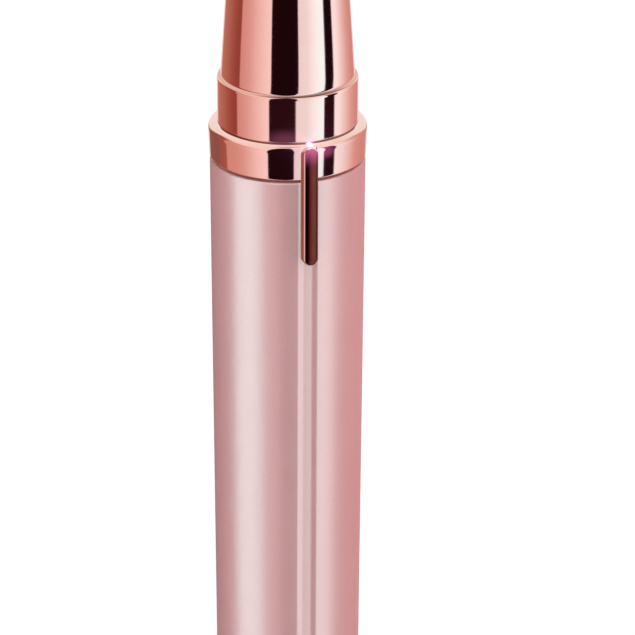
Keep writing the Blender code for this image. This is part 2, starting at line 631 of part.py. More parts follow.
rotor_core = node("rotor_core", turned([
    (0.72, 88.2), (2.3, 88.2), (2.3, 97.0), (0.72, 97.0)], 24), STEEL, 0.4, 0.9, axis_rotor)
for k in range(3):
    a = 2 * math.pi * k / 3 + math.pi / 2
    slot = block(1.35, 2.6, -0.35, 0.35, 87.8, 97.4)
    slot.transform(Matrix.Rotation(a, 4, "Z"))
    cutter("winding_slot_%d" % (k + 1), slot, rotor_core)
commutator = node("commutator", turned([
    (0.72, 85.5), (1.12, 85.5), (1.12, 87.6), (0.72, 87.6)], 18), (0.72, 0.38, 0.22), 0.3, 1.0, axis_rotor)
motor_shaft = node("motor_shaft", turned([
    (0.0, 84.2), (SHAFT_R, 84.2), (SHAFT_R, 103.4), (0.0, 103.4)], 16, closed=False), STEEL, 0.15, 1.0, axis_rotor)
drive_coupling = node("drive_coupling", turned([
    (0.7, 101.0), (1.6, 101.0), (1.6, 112.4), (0.8, 112.9), (0.8, 116.0), (0.0, 116.0), (0.0, 103.7), (0.7, 103.7),
], 20), WHITE_PLASTIC, 0.45, 0.0, axis_rotor)

# ---------------------------------------------------------------- cutter head
head_base = node("head_base", turned([
    (3.2, 111.3), (3.65, 111.3), (3.9, 111.6), (3.9, 115.6), (3.7, 115.9), (3.4, 115.9), (3.4, 114.2), (1.5, 114.2),
    (1.5, 113.3), (3.2, 113.3),
], 36), ROSE_CHROME, 0.1, 1.0, axis_head)
for k in range(12):
    a = 2 * math.pi * k / 12
    notch = block(3.78, 4.3, -0.22, 0.22, 112.2, 115.0)
    notch.transform(Matrix.Rotation(a, 4, "Z"))
    cutter("grip_notch_%02d" % (k + 1), notch, head_base)

blade_carrier = node("blade_carrier", turned([
    (1.1, 115.3), (1.9, 115.3), (1.9, 117.15), (0.0, 117.15), (0.0, 116.45), (1.1, 116.45)], 24),
    WHITE_PLASTIC, 0.45, 0.0, axis_blades)
blade_rotor = node("blade_rotor", turned([
    (0.0, 117.42), (1.7, 117.42), (1.7, 117.7), (0.0, 117.7)], 24, closed=False), STEEL, 0.2, 1.0, axis_blades)
for k in range(4):
    a = 2 * math.pi * k / 4 + math.pi / 4
    blade = block(0.9, 2.5, -0.18, 0.18, 117.55, 118.3)
    blade.transform(Matrix.Rotation(a, 4, "Z"))
    cutter("blade_%d" % (k + 1), blade, blade_rotor, "UNION")
wave = []
for i in range(21):
    t = i / 20
    a = 2 * math.pi * 1.5 * t
    wave.append((1.3 * math.cos(a), 1.3 * math.sin(a), 114.55 + 0.45 * t))
blade_spring = node("blade_spring", tube(wave, 0.11, 5), STEEL, 0.2, 1.0, axis_blades)

head_cover = node("head_cover", turned([
    (2.8, 114.8), (3.1, 114.8), (3.1, 116.2), (3.9, 116.2), (3.9, 118.5), (3.8, 118.85), (3.5, 119.1), (0.0, 119.2),
    (0.0, 118.6), (3.4, 118.6), (3.4, 116.7), (2.8, 116.7),
], 36), GOLD, 0.12, 1.0, axis_cover)
for k in range(10):
    a = 2 * math.pi * k / 10
    slot = block(1.0, 2.9, -0.22, 0.22, 118.2, 119.6)
    slot.transform(Matrix.Rotation(a, 4, "Z"))
    cutter("guard_slot_%02d" % (k + 1), slot, head_cover)
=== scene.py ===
# Looks of the pen-type electric eyebrow trimmer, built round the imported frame.
# Lengths in the mesh helpers are in millimetres in the part's frame; MM turns them into metres.
import json
import math

import bmesh
import bpy
from mathutils import Matrix, Vector


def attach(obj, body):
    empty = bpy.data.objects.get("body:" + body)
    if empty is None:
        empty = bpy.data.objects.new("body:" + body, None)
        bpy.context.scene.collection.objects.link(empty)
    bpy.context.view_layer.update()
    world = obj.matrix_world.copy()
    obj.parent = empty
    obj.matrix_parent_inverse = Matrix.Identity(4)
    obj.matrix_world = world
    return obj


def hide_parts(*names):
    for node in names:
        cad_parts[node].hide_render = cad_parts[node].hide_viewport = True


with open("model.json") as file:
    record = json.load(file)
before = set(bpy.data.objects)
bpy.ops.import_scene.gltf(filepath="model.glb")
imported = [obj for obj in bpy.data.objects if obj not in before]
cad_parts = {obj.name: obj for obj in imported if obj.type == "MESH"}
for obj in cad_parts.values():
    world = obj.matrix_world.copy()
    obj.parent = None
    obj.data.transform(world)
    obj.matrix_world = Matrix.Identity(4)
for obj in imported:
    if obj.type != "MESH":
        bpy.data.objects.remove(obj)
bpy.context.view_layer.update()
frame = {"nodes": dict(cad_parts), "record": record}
nodes = frame["nodes"]
MM = 0.001
scene = bpy.context.scene

# ------------------------------------------------------------------ dimensions (mm), as in the CAD
BARREL_Z0, BARREL_Z1, BARREL_R0, BARREL_R1 = 5.3, 83.2, 7.36, 8.00
BAR_Z0, BAR_Z1 = 74.4, 87.3
LENS_POINT = Vector((0.12, -7.58, 87.12))
LENS_DIR = Vector((0.0, -math.sqrt(0.5), math.sqrt(0.5)))


def barrel_radius(z):
    return BARREL_R0 + (BARREL_R1 - BARREL_R0) * (z - BARREL_Z0) / (BARREL_Z1 - BARREL_Z0)


def cap_radius(z):
    return 6.87 - 0.066 * (z - 92.4)


# ------------------------------------------------------------------ mesh helpers
def rounded(corners, closed=False, steps=7, lead=0.05):
    """Profile points from corners (x, y, radius): each radius becomes an arc, with a short straight lead on both sides."""
    out = []
    n = len(corners)
    for i, c in enumerate(corners):
        p = Vector(c[:2])
        radius = c[2] if len(c) > 2 else 0.0
        if radius <= 0 or (not closed and i in (0, n - 1)):
            out.append((p.x, p.y))
            continue
        a, b = Vector(corners[i - 1][:2]), Vector(corners[(i + 1) % n][:2])
        u, v = a - p, b - p
        la, lb = u.length, v.length
        u, v = u / la, v / lb
        half = math.acos(max(-1.0, min(1.0, u.dot(v)))) / 2
        if half > math.pi / 2 - 0.01:
            out.append((p.x, p.y))
            continue
        reach = min(radius / math.tan(half), la * 0.48, lb * 0.48)
        radius = reach * math.tan(half)
        centre = p + (u + v).normalized() * (radius / math.sin(half))
        s, e = p + u * reach - centre, p + v * reach - centre
        turn = math.atan2(s.x * e.y - s.y * e.x, s.dot(e))
        if la - reach > 3 * lead:
            q = p + u * (reach + lead)
            out.append((q.x, q.y))
        for k in range(steps + 1):
            t = turn * k / steps
            out.append((centre.x + s.x * math.cos(t) - s.y * math.sin(t), centre.y + s.x * math.sin(t) + s.y * math.cos(t)))
        if lb - reach > 3 * lead:
            q = p + v * (reach + lead)
            out.append((q.x, q.y))
    return out


def spline(points, per_span=6):
    """Points on a smooth curve through the given points, in two or three dimensions."""
    pts = [Vector(p) for p in points]
    pts = [pts[0] * 2 - pts[1]] + pts + [pts[-1] * 2 - pts[-2]]
    out = []
    for i in range(1, len(pts) - 2):
        p0, p1, p2, p3 = pts[i - 1:i + 3]
        for s in range(per_span):
            t = s / per_span
            out.append(0.5 * (2 * p1 + (p2 - p0) * t + (2 * p0 - 5 * p1 + 4 * p2 - p3) * t * t
                              + (3 * p1 - p0 - 3 * p2 + p3) * t ** 3))
    out.append(pts[-2])
    return [tuple(p) for p in out]


def join_rings(bm, rings, closed):
    pairs = list(zip(rings[:-1], rings[1:]))
    if closed:
        pairs.append((rings[-1], rings[0]))
    for a, b in pairs:
        n = max(len(a), len(b))
        if n == 1:
            continue
        for i in range(n):
            j = (i + 1) % n
            if len(a) == 1:
                bm.faces.new((a[0], b[i], b[j]))
            elif len(b) == 1:
                bm.faces.new((a[i], a[j], b[0]))
            else:
                bm.faces.new((a[i], a[j], b[j], b[i]))


def lathe(profile, segments=192, closed=True):
    """Turned solid from (radius, height) points; closed=False runs from axis to axis."""
    bm = bmesh.new()
    rings = []
    for r, z in profile:
        if r < 1e-6:
            rings.append([bm.verts.new((0.0, 0.0, z))])
        else:
            rings.append([bm.verts.new((r * math.cos(2 * math.pi * i / segments), r * math.sin(2 * math.pi * i / segments), z))
                          for i in range(segments)])
    join_rings(bm, rings, closed)
    return bm


GROOVE_ANGLES = ([0.75 * i for i in range(6)] + [4.5 + 0.12 * i for i in range(40)]
                 + [9.3, 10.2, 11.1] + [12 + 1.5 * i for i in range(113)])
GROOVE_ANGLES = GROOVE_ANGLES + [360 - a for a in reversed(GROOVE_ANGLES[1:-1])]


def softer_min(a, b, k):
    h = max(k - abs(a - b), 0.0) / k
    return min(a, b) - h * h * k / 4


def channel(r, angle, floor):
    """Outline of a ring at an angle from -Y, where a straight channel just wider than the switch bar is cut to a flat floor."""
    a = min(angle, 360 - angle)
    if a > 25:
        return r
    t = math.radians(a)
    if floor * math.tan(t) <= 0.835:
        return min(r, floor / math.cos(t))
    return softer_min(r, 0.85 / math.sin(t) + max(floor * math.tan(t) - 0.85, 0.0) * 30, 0.03)


def trough(r, angle, depth, flat=0.42, mouth=1.10):
    """Outline of a ring at an angle from -Y, with a shallow trough whose sides roll in and out."""
    a = min(angle, 360 - angle)
    across = r * math.sin(math.radians(a))
    if a > 25 or across >= mouth:
        return r
    t = min(max((across - flat) / (mouth - flat), 0.0), 1.0)
    sink = depth * (1 - t * t * (3 - 2 * t))
    round_off = r - (r * math.cos(math.radians(a)))
    return r - sink + round_off * (1 - t) * 0.6 * (sink / depth if depth else 0)


def grooved_lathe(profile, outline):
    """Turned ring, closed in profile, whose radius round the axis is outline(r, angle from -Y, z)."""
    bm = bmesh.new()
    rings = []
    for r, z in profile:
        ring = []
        for a in GROOVE_ANGLES:
            reach = outline(r, a, z)
            t = math.radians(a)
            ring.append(bm.verts.new((reach * math.sin(t), -reach * math.cos(t), z)))
        rings.append(ring)
    join_rings(bm, rings, True)
    return bm


def box_mesh(x0, x1, y0, y1, z0, z1):
    bm = bmesh.new()
    corners = [bm.verts.new((x, y, z)) for z in (z0, z1) for y in (y0, y1) for x in (x0, x1)]
    for f in ((0, 2, 3, 1), (4, 5, 7, 6), (0, 1, 5, 4), (2, 6, 7, 3), (0, 4, 6, 2), (1, 3, 7, 5)):
        bm.faces.new([corners[i] for i in f])
    return bm


def sweep(points, radii, sides=16):
    """Round solid along a line of points, with a radius at each point; a zero radius closes it to a tip."""
    bm = bmesh.new()
    pts = [Vector(p) for p in points]
    radii = radii if hasattr(radii, "__len__") else [radii] * len(pts)
    side = None
    rings = []
    for i, p in enumerate(pts):
        t = (pts[min(i + 1, len(pts) - 1)] - pts[max(i - 1, 0)]).normalized()
        side = t.orthogonal().normalized() if side is None else (side - t * side.dot(t)).normalized()
        up = t.cross(side)
        if radii[i] < 1e-6:
            rings.append([bm.verts.new(p)])
        else:
            rings.append([bm.verts.new(p + (side * math.cos(2 * math.pi * k / sides) + up * math.sin(2 * math.pi * k / sides)) * radii[i])
                          for k in range(sides)])
    join_rings(bm, rings, False)
    if len(rings[0]) > 1:
        bm.faces.new(list(reversed(rings[0])))
    if len(rings[-1]) > 1:
        bm.faces.new(rings[-1])
    return bm


def capsule(p0, p1, radius, sides=24, cap_steps=6):
    """Round rod with ball ends."""
    a, b = Vector(p0), Vector(p1)
    d = (b - a).normalized()
    pts, radii = [], []
    for k in range(cap_steps + 1):
        t = math.pi / 2 * k / cap_steps
        pts.append(a - d * radius * math.cos(t))
        radii.append(radius * math.sin(t))
    for k in range(cap_steps + 1):
        t = math.pi / 2 * k / cap_steps
        pts.append(b + d * radius * math.sin(t))
        radii.append(radius * math.cos(t) if k < cap_steps else 0.0)
    radii[0] = 0.0
    return sweep(pts, radii, sides)


def to_mesh(name, bm):
    bmesh.ops.remove_doubles(bm, verts=bm.verts, dist=1e-5)
    bmesh.ops.recalc_face_normals(bm, faces=bm.faces)
    for v in bm.verts:
        v.co *= MM
    mesh = bpy.data.meshes.new(name)
    bm.to_mesh(mesh)
    bm.free()
    return mesh


def carve(mesh, tools):
    """The mesh with each (operation, bmesh) tool applied by an exact Boolean."""
    body = bpy.data.objects.new("carve_body", mesh)
    scene.collection.objects.link(body)
    made = []
    for operation, bm in tools:
        tool = bpy.data.objects.new("carve_tool", to_mesh("carve_tool", bm))
        scene.collection.objects.link(tool)
        mod = body.modifiers.new("carve", "BOOLEAN")
        mod.operation, mod.solver, mod.object = operation, "EXACT", tool
        made.append(tool)
    result = bpy.data.meshes.new_from_object(body.evaluated_get(bpy.context.evaluated_depsgraph_get()))
    for o in made + [body]:
        old = o.data
        bpy.data.objects.remove(o)
        bpy.data.meshes.remove(old)
    return result


def piece(name, shape, materials, body, stands_for=(), sharp=33.0, tools=(), pick=None):
    """One visible piece: shape is a bmesh in millimetres; pick(centre) gives the number of a face's material."""
    mesh = to_mesh(name, shape)
    if tools:
        mesh = carve(mesh, tools)
        mesh.name = name
    mesh.shade_smooth()
    mesh.set_sharp_from_angle(angle=math.radians(sharp))
    mesh.materials.clear()
    for m in materials if isinstance(materials, (list, tuple)) else [materials]:
        mesh.materials.append(m)
    for p in mesh.polygons:
        p.material_index = pick(p.center / MM) if pick else 0
    obj = bpy.data.objects.new(name, mesh)
    scene.collection.objects.link(obj)
    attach(obj, body)
    if stands_for:
        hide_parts(*stands_for)
    return obj


# ------------------------------------------------------------------ material helpers
class Look:
    """A Principled material with texture coordinates in millimetres of the part's frame."""

    def __init__(self, name, **uniform):
        self.m = bpy.data.materials.new(name)
        self.m.use_nodes = True
        self.t = self.m.node_tree
        self.bsdf = self.t.nodes["Principled BSDF"]
        for key, value in uniform.items():
            self.bsdf.inputs[key.replace("_", " ")].default_value = (*value, 1.0) if isinstance(value, tuple) and len(value) == 3 else value
        coord = self.t.nodes.new("ShaderNodeTexCoord")
        scale = self.t.nodes.new("ShaderNodeVectorMath")
        scale.operation = "SCALE"
        scale.inputs["Scale"].default_value = 1000.0
        self.t.links.new(coord.outputs["Object"], scale.inputs[0])
        self.mm = scale.outputs["Vector"]

    def link(self, a, b):
        self.t.links.new(a, b)

    def stretch(self, x, y, z):
        n = self.t.nodes.new("ShaderNodeVectorMath")
        n.operation = "MULTIPLY"
        n.inputs[1].default_value = (x, y, z)
        self.link(self.mm, n.inputs[0])
        return n.outputs["Vector"]

    def round_coords(self, around, along):
        """Coordinates that run round the part's axis and along it, for marks that follow turning or drawing."""
        sep = self.t.nodes.new("ShaderNodeSeparateXYZ")
        self.link(self.mm, sep.inputs[0])
        ang = self.math("ARCTAN2", sep.outputs["X"], sep.outputs["Y"])
        a = self.math("MULTIPLY", ang, around)
        b = self.math("MULTIPLY", sep.outputs["Z"], along)
        c = self.t.nodes.new("ShaderNodeCombineXYZ")
        self.link(a, c.inputs["X"])
        self.link(b, c.inputs["Y"])
        return c.outputs["Vector"]

    def axis(self, name):
        sep = self.t.nodes.new("ShaderNodeSeparateXYZ")
        self.link(self.mm, sep.inputs[0])
        return sep.outputs[name]

    def math(self, operation, a, b=None, clamp=False):
        n = self.t.nodes.new("ShaderNodeMath")
        n.operation, n.use_clamp = operation, clamp
        for i, v in enumerate((a, b)):
            if v is None:
                continue
            if isinstance(v, (int, float)):
                n.inputs[i].default_value = v
            else:
                self.link(v, n.inputs[i])
        return n.outputs[0]

    def noise(self, scale, detail=2.0, rough=0.5, vector=None):
        n = self.t.nodes.new("ShaderNodeTexNoise")
        n.inputs["Scale"].default_value = scale
        n.inputs["Detail"].default_value = detail
        n.inputs["Roughness"].default_value = rough
        self.link(self.mm if vector is None else vector, n.inputs["Vector"])
        return n.outputs["Fac"]

    def cells(self, scale, vector=None):
        n = self.t.nodes.new("ShaderNodeTexVoronoi")
        n.inputs["Scale"].default_value = scale
        self.link(self.mm if vector is None else vector, n.inputs["Vector"])
        return n.outputs["Color"], n.outputs["Distance"]

    def span(self, value, low, high, to_low, to_high, smooth=False):
        n = self.t.nodes.new("ShaderNodeMapRange")
        n.interpolation_type = "SMOOTHSTEP" if smooth else "LINEAR"
        for key, v in (("From Min", low), ("From Max", high), ("To Min", to_low), ("To Max", to_high)):
            n.inputs[key].default_value = v
        self.link(value, n.inputs["Value"])
        return n.outputs["Result"]

    def ramp(self, value, stops, interpolation="LINEAR"):
        n = self.t.nodes.new("ShaderNodeValToRGB")
        n.color_ramp.interpolation = interpolation
        while len(n.color_ramp.elements) < len(stops):
            n.color_ramp.elements.new(0.5)
        for e, (p, c) in zip(n.color_ramp.elements, stops):
            e.position, e.color = p, (*c, 1.0)
        self.link(value, n.inputs["Fac"])
        return n.outputs["Color"]

    def mix(self, fac, a, b, blend="MIX"):
        n = self.t.nodes.new("ShaderNodeMix")
        n.data_type, n.blend_type = "RGBA", blend
        for sock, v in (("Factor", fac), ("A", a), ("B", b)):
            target = next(s for s in n.inputs if s.name == sock and s.type == ("VALUE" if sock == "Factor" else "RGBA"))
            if isinstance(v, (int, float)):
                target.default_value = v
            elif isinstance(v, tuple):
                target.default_value = (*v, 1.0)
            else:
                self.link(v, target)
        return next(s for s in n.outputs if s.type == "RGBA")

    def bump(self, height, distance, strength=1.0, after=None):
        n = self.t.nodes.new("ShaderNodeBump")
        n.inputs["Strength"].default_value = strength
        n.inputs["Distance"].default_value = distance * MM
        self.link(height, n.inputs["Height"])
        if after is not None:
            self.link(after, n.inputs["Normal"])
        return n.outputs["Normal"]

    def set(self, socket, value):
        self.link(value, self.bsdf.inputs[socket])


def metal(name, light, dark, rough=(0.12, 0.22), grain=(1.0, 9.0), wave=0.0008):
    """Plated or drawn metal: faint cloudiness, fine lines and a slight waviness of the surface."""
    k = Look(name, Metallic=1.0)
    cloud = k.noise(0.45, 3.0, 0.55)
    lines = k.noise(1.0, 3.0, 0.6, k.round_coords(*grain))
    k.set("Base Color", k.mix(k.span(cloud, 0.3, 0.7, 0.0, 1.0), light, dark))
    k.set("Roughness", k.span(lines, 0.3, 0.75, *rough))
    k.set("Normal", k.bump(k.noise(0.5, 1.0), wave, after=k.bump(lines, wave * 0.25)))
    return k.m


def plastic(name, light, dark, rough=(0.38, 0.5), grain=6.0, depth=0.004, **uniform):
    """Moulded plastic: fine spark-eroded grain and slight uneven tone."""
    k = Look(name, **uniform)
    k.set("Base Color", k.mix(k.span(k.noise(0.3, 3.0), 0.35, 0.65, 0.0, 1.0), light, dark))
    fine = k.noise(grain, 3.0, 0.6)
    k.set("Roughness", k.span(fine, 0.3, 0.7, *rough))
    k.set("Normal", k.bump(fine, depth))
    return k.m


# ------------------------------------------------------------------ materials
CHROME = (0.92, 0.56, 0.47)


def rose_chrome(name="rose_chrome", painted_glow=None, painted_seam_shade=None):
    """Rose-gold chrome, with two optional painted marks: a violet glow painted on round a centre as the light's spill
    (centre, stretch, colour), and painted shade as a dark line between two heights and a dark ring on the ledge, darker
    at the front (low, high, line colour, ledge height, ring colour).
    """
    k = Look(name, Metallic=1.0)
    cloud = k.noise(0.22, 3.0, 0.55)
    tone = k.mix(k.span(cloud, 0.3, 0.7, 0.0, 1.0), CHROME, (0.90, 0.535, 0.445))
    lines = k.noise(1.0, 4.0, 0.6, k.round_coords(2.0, 22.0))
    specks = k.noise(9.0, 2.0, 0.7)
    rough = k.math("ADD", k.span(lines, 0.3, 0.75, 0.045, 0.075), k.span(specks, 0.66, 0.74, 0.0, 0.02))
    if painted_seam_shade:
        low, high, seam_shade_colour, ledge, ring = painted_seam_shade
        z = k.axis("Z")
        radius = k.math("SQRT", k.math("ADD", k.math("POWER", k.axis("X"), 2.0), k.math("POWER", k.axis("Y"), 2.0)))
        # painted shade: a dark ring painted on the ledge under the cap, darkest at the front and paler rose towards the
        # back, standing in for the dark reflection there
        ledge_shade_mask = k.math("MULTIPLY", k.span(z, ledge - 0.05, ledge, 0.0, 1.0, smooth=True), k.span(radius, 6.60, 6.66, 0.0, 1.0, smooth=True))
        tone = k.mix(ledge_shade_mask, tone, k.mix(k.span(k.axis("Y"), -6.9, -4.9, 0.0, 1.0, smooth=True), ring, (0.72, 0.38, 0.31)))
        rough = k.math("ADD", rough, k.math("MULTIPLY", ledge_shade_mask, 0.15))
        # painted shade: the chrome turns dull and dark below the lower height, standing in for the shadowed gap at the
        # neck's foot
        tone = k.mix(k.span(z, low, low + 0.06, 1.0, 0.0, smooth=True), tone, seam_shade_colour)
        rough = k.math("ADD", rough, k.span(z, high - 0.08, high, 0.24, 0.0, smooth=True))
    # painted glow: violet emission painted round a centre, standing in for the light's spill on the chrome
    if painted_glow:
        centre, stretch, colour = painted_glow
        shift = k.t.nodes.new("ShaderNodeVectorMath")
        shift.operation = "MULTIPLY_ADD"
        shift.inputs[1].default_value = stretch
        shift.inputs[2].default_value = tuple(-c * s for c, s in zip(centre, stretch))
        k.link(k.mm, shift.inputs[0])
        size = k.t.nodes.new("ShaderNodeVectorMath")
        size.operation = "LENGTH"
        k.link(shift.outputs["Vector"], size.inputs[0])
        k.set("Emission Color", k.mix(k.span(size.outputs["Value"], 0.15, 1.0, 1.0, 0.0, smooth=True), (0.0, 0.0, 0.0), colour))
        k.bsdf.inputs["Emission Strength"].default_value = 1.0
    k.set("Base Color", tone)
    k.set("Roughness", rough)
    k.set("Normal", k.bump(k.noise(0.35, 1.0), 0.0012, after=k.bump(lines, 0.00006)))
    return k.m


def switch_inlay_with_painted_light():
    k = Look("switch_inlay_with_painted_light", Metallic=1.0)
    lines = k.noise(1.0, 4.0, 0.6, k.stretch(14.0, 1.0, 0.6))
    tone = k.mix(k.span(k.noise(0.8, 3.0), 0.3, 0.7, 0.0, 1.0), (0.145, 0.028, 0.018), (0.163, 0.032, 0.021))
    # painted shade: the left side of the inlay is painted darker
    k.set("Base Color", k.mix(k.span(k.axis("X"), -0.22, 0.12, 1.0, 0.0, smooth=True), tone, (0.135, 0.016, 0.018)))
    k.set("Roughness", k.span(lines, 0.3, 0.7, 0.20, 0.27))
    k.set("Normal", k.bump(lines, 0.00008))
    # painted glow: magenta emission painted on towards the top of the bar, standing in for the light falling on it
    glow = k.span(k.axis("Z"), 85.2, 87.3, 0.0, 1.0, smooth=True)
    k.set("Emission Color", k.mix(glow, (0.0, 0.0, 0.0), (0.36, 0.065, 0.17)))
    k.bsdf.inputs["Emission Strength"].default_value = 1.0
    return k.m


def pearl_pink():
    k = Look("pearl_pink", IOR=2.4, Metallic=0.0)
    colour, distance = k.cells(16.0)
    sep = k.t.nodes.new("ShaderNodeSeparateColor")
    k.link(colour, sep.inputs[0])
    flake = sep.outputs[0]
    tone = k.mix(k.span(k.noise(0.12, 3.0), 0.35, 0.65, 0.0, 1.0), (0.600, 0.254, 0.256), (0.585, 0.246, 0.249))
    k.set("Base Color", k.mix(k.span(flake, 0.80, 1.0, 0.0, 0.35), tone, (0.69, 0.40, 0.40)))
    k.set("Roughness", k.math("ADD", k.span(flake, 0.0, 1.0, 0.34, 0.41), k.span(k.noise(0.5, 2.0), 0.3, 0.7, -0.01, 0.015)))
    k.set("Normal", k.bump(flake, 0.00035, after=k.bump(k.noise(3.5, 3.0, 0.6), 0.0006)))
    return k.m


def lens_look():
    """Clear moulded lens with the light's small bright heart low at its front and a faint violet body."""
    k = Look("lens_clear", Roughness=0.06, IOR=1.49)
    k.set("Base Color", k.mix(k.noise(3.0, 2.0), (0.34, 0.09, 0.17), (0.40, 0.12, 0.22)))
    apart = k.t.nodes.new("ShaderNodeVectorMath")
    apart.operation = "DISTANCE"
    k.link(k.mm, apart.inputs[0])
    apart.inputs[1].default_value = (0.35, -7.79, 87.11)
    away = apart.outputs["Value"]
    heart = k.span(away, 0.045, 0.15, 170.0, 0.0, smooth=True)
    body = k.span(away, 0.2, 0.8, 1.5, 0.45, smooth=True)
    light = k.math("ADD", heart, body)
    tint = k.mix(k.span(away, 0.12, 0.34, 0.0, 1.0), (1.0, 0.86, 1.0), (0.95, 0.55, 0.80))
    k.set("Emission Color", k.mix(1.0, tint, light, "MULTIPLY"))
    k.bsdf.inputs["Emission Strength"].default_value = 1.0
    return k.m


def cell_wrap():
    """Plain shrink sleeve of a dry cell: pale grey with one dark ring near the positive end, under a fine glossy film."""
    k = Look("cell_wrap", Coat_Weight=0.5, Coat_Roughness=0.12)
    z = k.axis("Z")
    body = k.mix(k.span(k.noise(0.5, 3.0), 0.3, 0.7, 0.0, 1.0), (0.50, 0.51, 0.53), (0.44, 0.45, 0.47))
    ring = k.math("MULTIPLY", k.span(z, 46.4, 46.45, 0.0, 1.0), k.span(z, 50.2, 50.25, 1.0, 0.0))
    k.set("Base Color", k.mix(ring, body, (0.035, 0.036, 0.04)))
    fine = k.noise(5.0, 3.0)
    k.set("Roughness", k.span(fine, 0.3, 0.7, 0.24, 0.36))
    k.set("Normal", k.bump(fine, 0.002))
    return k.m


def board():
    k = Look("board_green", Coat_Weight=0.4, Coat_Roughness=0.25)
    weave = k.noise(7.0, 2.0, 0.6, k.stretch(1.0, 0.3, 1.0))
    k.set("Base Color", k.mix(k.span(weave, 0.35, 0.65, 0.0, 1.0), (0.010, 0.085, 0.035), (0.020, 0.125, 0.055)))
    k.set("Roughness", k.span(weave, 0.3, 0.7, 0.3, 0.45))
    k.set("Normal", k.bump(weave, 0.003))
    return k.m


LOOKS = {
    "rose_chrome": rose_chrome(),
    "pearl_pink": pearl_pink(),
    "lens_clear": lens_look(),
    "cell_wrap": cell_wrap(),
    "board_green": board(),
    "gold_plate": metal("gold_plate", (0.93, 0.68, 0.33), (0.88, 0.62, 0.28), (0.09, 0.17), (3.0, 16.0)),
    "white_plastic": plastic("white_plastic", (0.78, 0.78, 0.76), (0.72, 0.72, 0.70)),
    "black_plastic": plastic("black_plastic", (0.020, 0.020, 0.022), (0.030, 0.030, 0.033)),
    "rubber_black": plastic("rubber_black", (0.014, 0.014, 0.015), (0.022, 0.022, 0.023), (0.6, 0.75), 9.0, 0.006),
    "spring_steel": metal("spring_steel", (0.62, 0.61, 0.60), (0.54, 0.54, 0.55), (0.16, 0.28), (6.0, 12.0)),
    "bright_steel": metal("bright_steel", (0.70, 0.70, 0.71), (0.63, 0.63, 0.65), (0.08, 0.18), (4.0, 20.0)),
    "core_steel": metal("core_steel", (0.36, 0.35, 0.34), (0.28, 0.28, 0.29), (0.32, 0.48), (1.0, 14.0)),
    "magnet_grey": metal("magnet_grey", (0.17, 0.17, 0.18), (0.12, 0.12, 0.13), (0.42, 0.6), (2.0, 3.0)),
    "contact_brass": metal("contact_brass", (0.76, 0.57, 0.27), (0.68, 0.48, 0.20), (0.18, 0.32), (3.0, 8.0)),
    "commutator_copper": metal("commutator_copper", (0.80, 0.42, 0.27), (0.68, 0.33, 0.20), (0.2, 0.35), (2.0, 18.0)),
    "wire_red": plastic("wire_red", (0.50, 0.022, 0.020), (0.42, 0.016, 0.016), (0.32, 0.42), 4.0, 0.002),
    "wire_black": plastic("wire_black", (0.020, 0.020, 0.021), (0.028, 0.028, 0.030), (0.32, 0.42), 4.0, 0.002),
    "led_white": plastic("led_white", (0.84, 0.84, 0.78), (0.78, 0.77, 0.70), (0.2, 0.3), 5.0, 0.002),
}
INLAY = switch_inlay_with_painted_light()
# the neck's chrome carries a painted violet glow of the light, and painted shade at its foot and on the ledge
NECK_CHROME = rose_chrome("rose_chrome_neck_painted_glow_and_shade", ((-2.1, -6.9, 87.45), (0.36, 0.36, 0.62), (0.11, 0.028, 0.055)), (87.25, 87.42, (0.32, 0.09, 0.06), 92.07, (0.13, 0.06, 0.05)))
# the collar's chrome carries a painted violet glow of the light
COLLAR_CHROME = rose_chrome("rose_chrome_collar_painted_glow", ((1.95, -7.9, 86.45), (0.75, 0.75, 0.90), (0.23, 0.045, 0.115)))
# lit and shaded copies of the rose chrome for the switch bar: a darker one painted as shade on its walls, a paler one
# painted as a highlight on its bevels
SWITCH_WALL_PAINTED_SHADE = metal("switch_wall_painted_shade", (0.52, 0.29, 0.23), (0.46, 0.25, 0.20), (0.10, 0.16), (1.0, 12.0))
SWITCH_BEVEL_PAINTED_HIGHLIGHT = metal("switch_bevel_painted_highlight", (0.95, 0.82, 0.71), (0.92, 0.78, 0.67), (0.06, 0.10), (1.0, 12.0))

# every CAD node takes the look of its own slot; the finer pieces below stand in for the visible ones
slot_of = {n: m["slot"] for m in frame["record"]["materials"] for n in m.get("nodes", [])}
for name, obj in nodes.items():
    look = LOOKS.get(slot_of.get(name), LOOKS["white_plastic"])
    obj.data.materials.clear()
    obj.data.materials.append(look)
    for p in obj.data.polygons:
        p.material_index = 0

# ------------------------------------------------------------------ barrel and collar
barrel_profile = rounded([
    (6.35, BARREL_Z0), (BARREL_R0, BARREL_Z0, 0.22), (BARREL_R1, BARREL_Z1, 0.28), (6.95, BARREL_Z1), (6.95, 80.2), (6.35, 80.2),
], closed=True)
stations = []
for (r0, z0), (r1, z1) in zip(barrel_profile, barrel_profile[1:] + barrel_profile[:1]):
    stations.append((r0, z0))
    if z1 - z0 > 50:
        stations += [(r0 + (r1 - r0) * k / 12, z0 + (z1 - z0) * k / 12) for k in range(1, 12)]
barrel = piece("barrel_fine", grooved_lathe(stations, lambda r, a, z: trough(r, a, 0.18) if r > 7.1 else r), LOOKS["pearl_pink"], "handle",
               ["barrel"], tools=[("DIFFERENCE", box_mesh(-0.6, 0.6, -9.5, -5.5, 75.1, 79.9))])

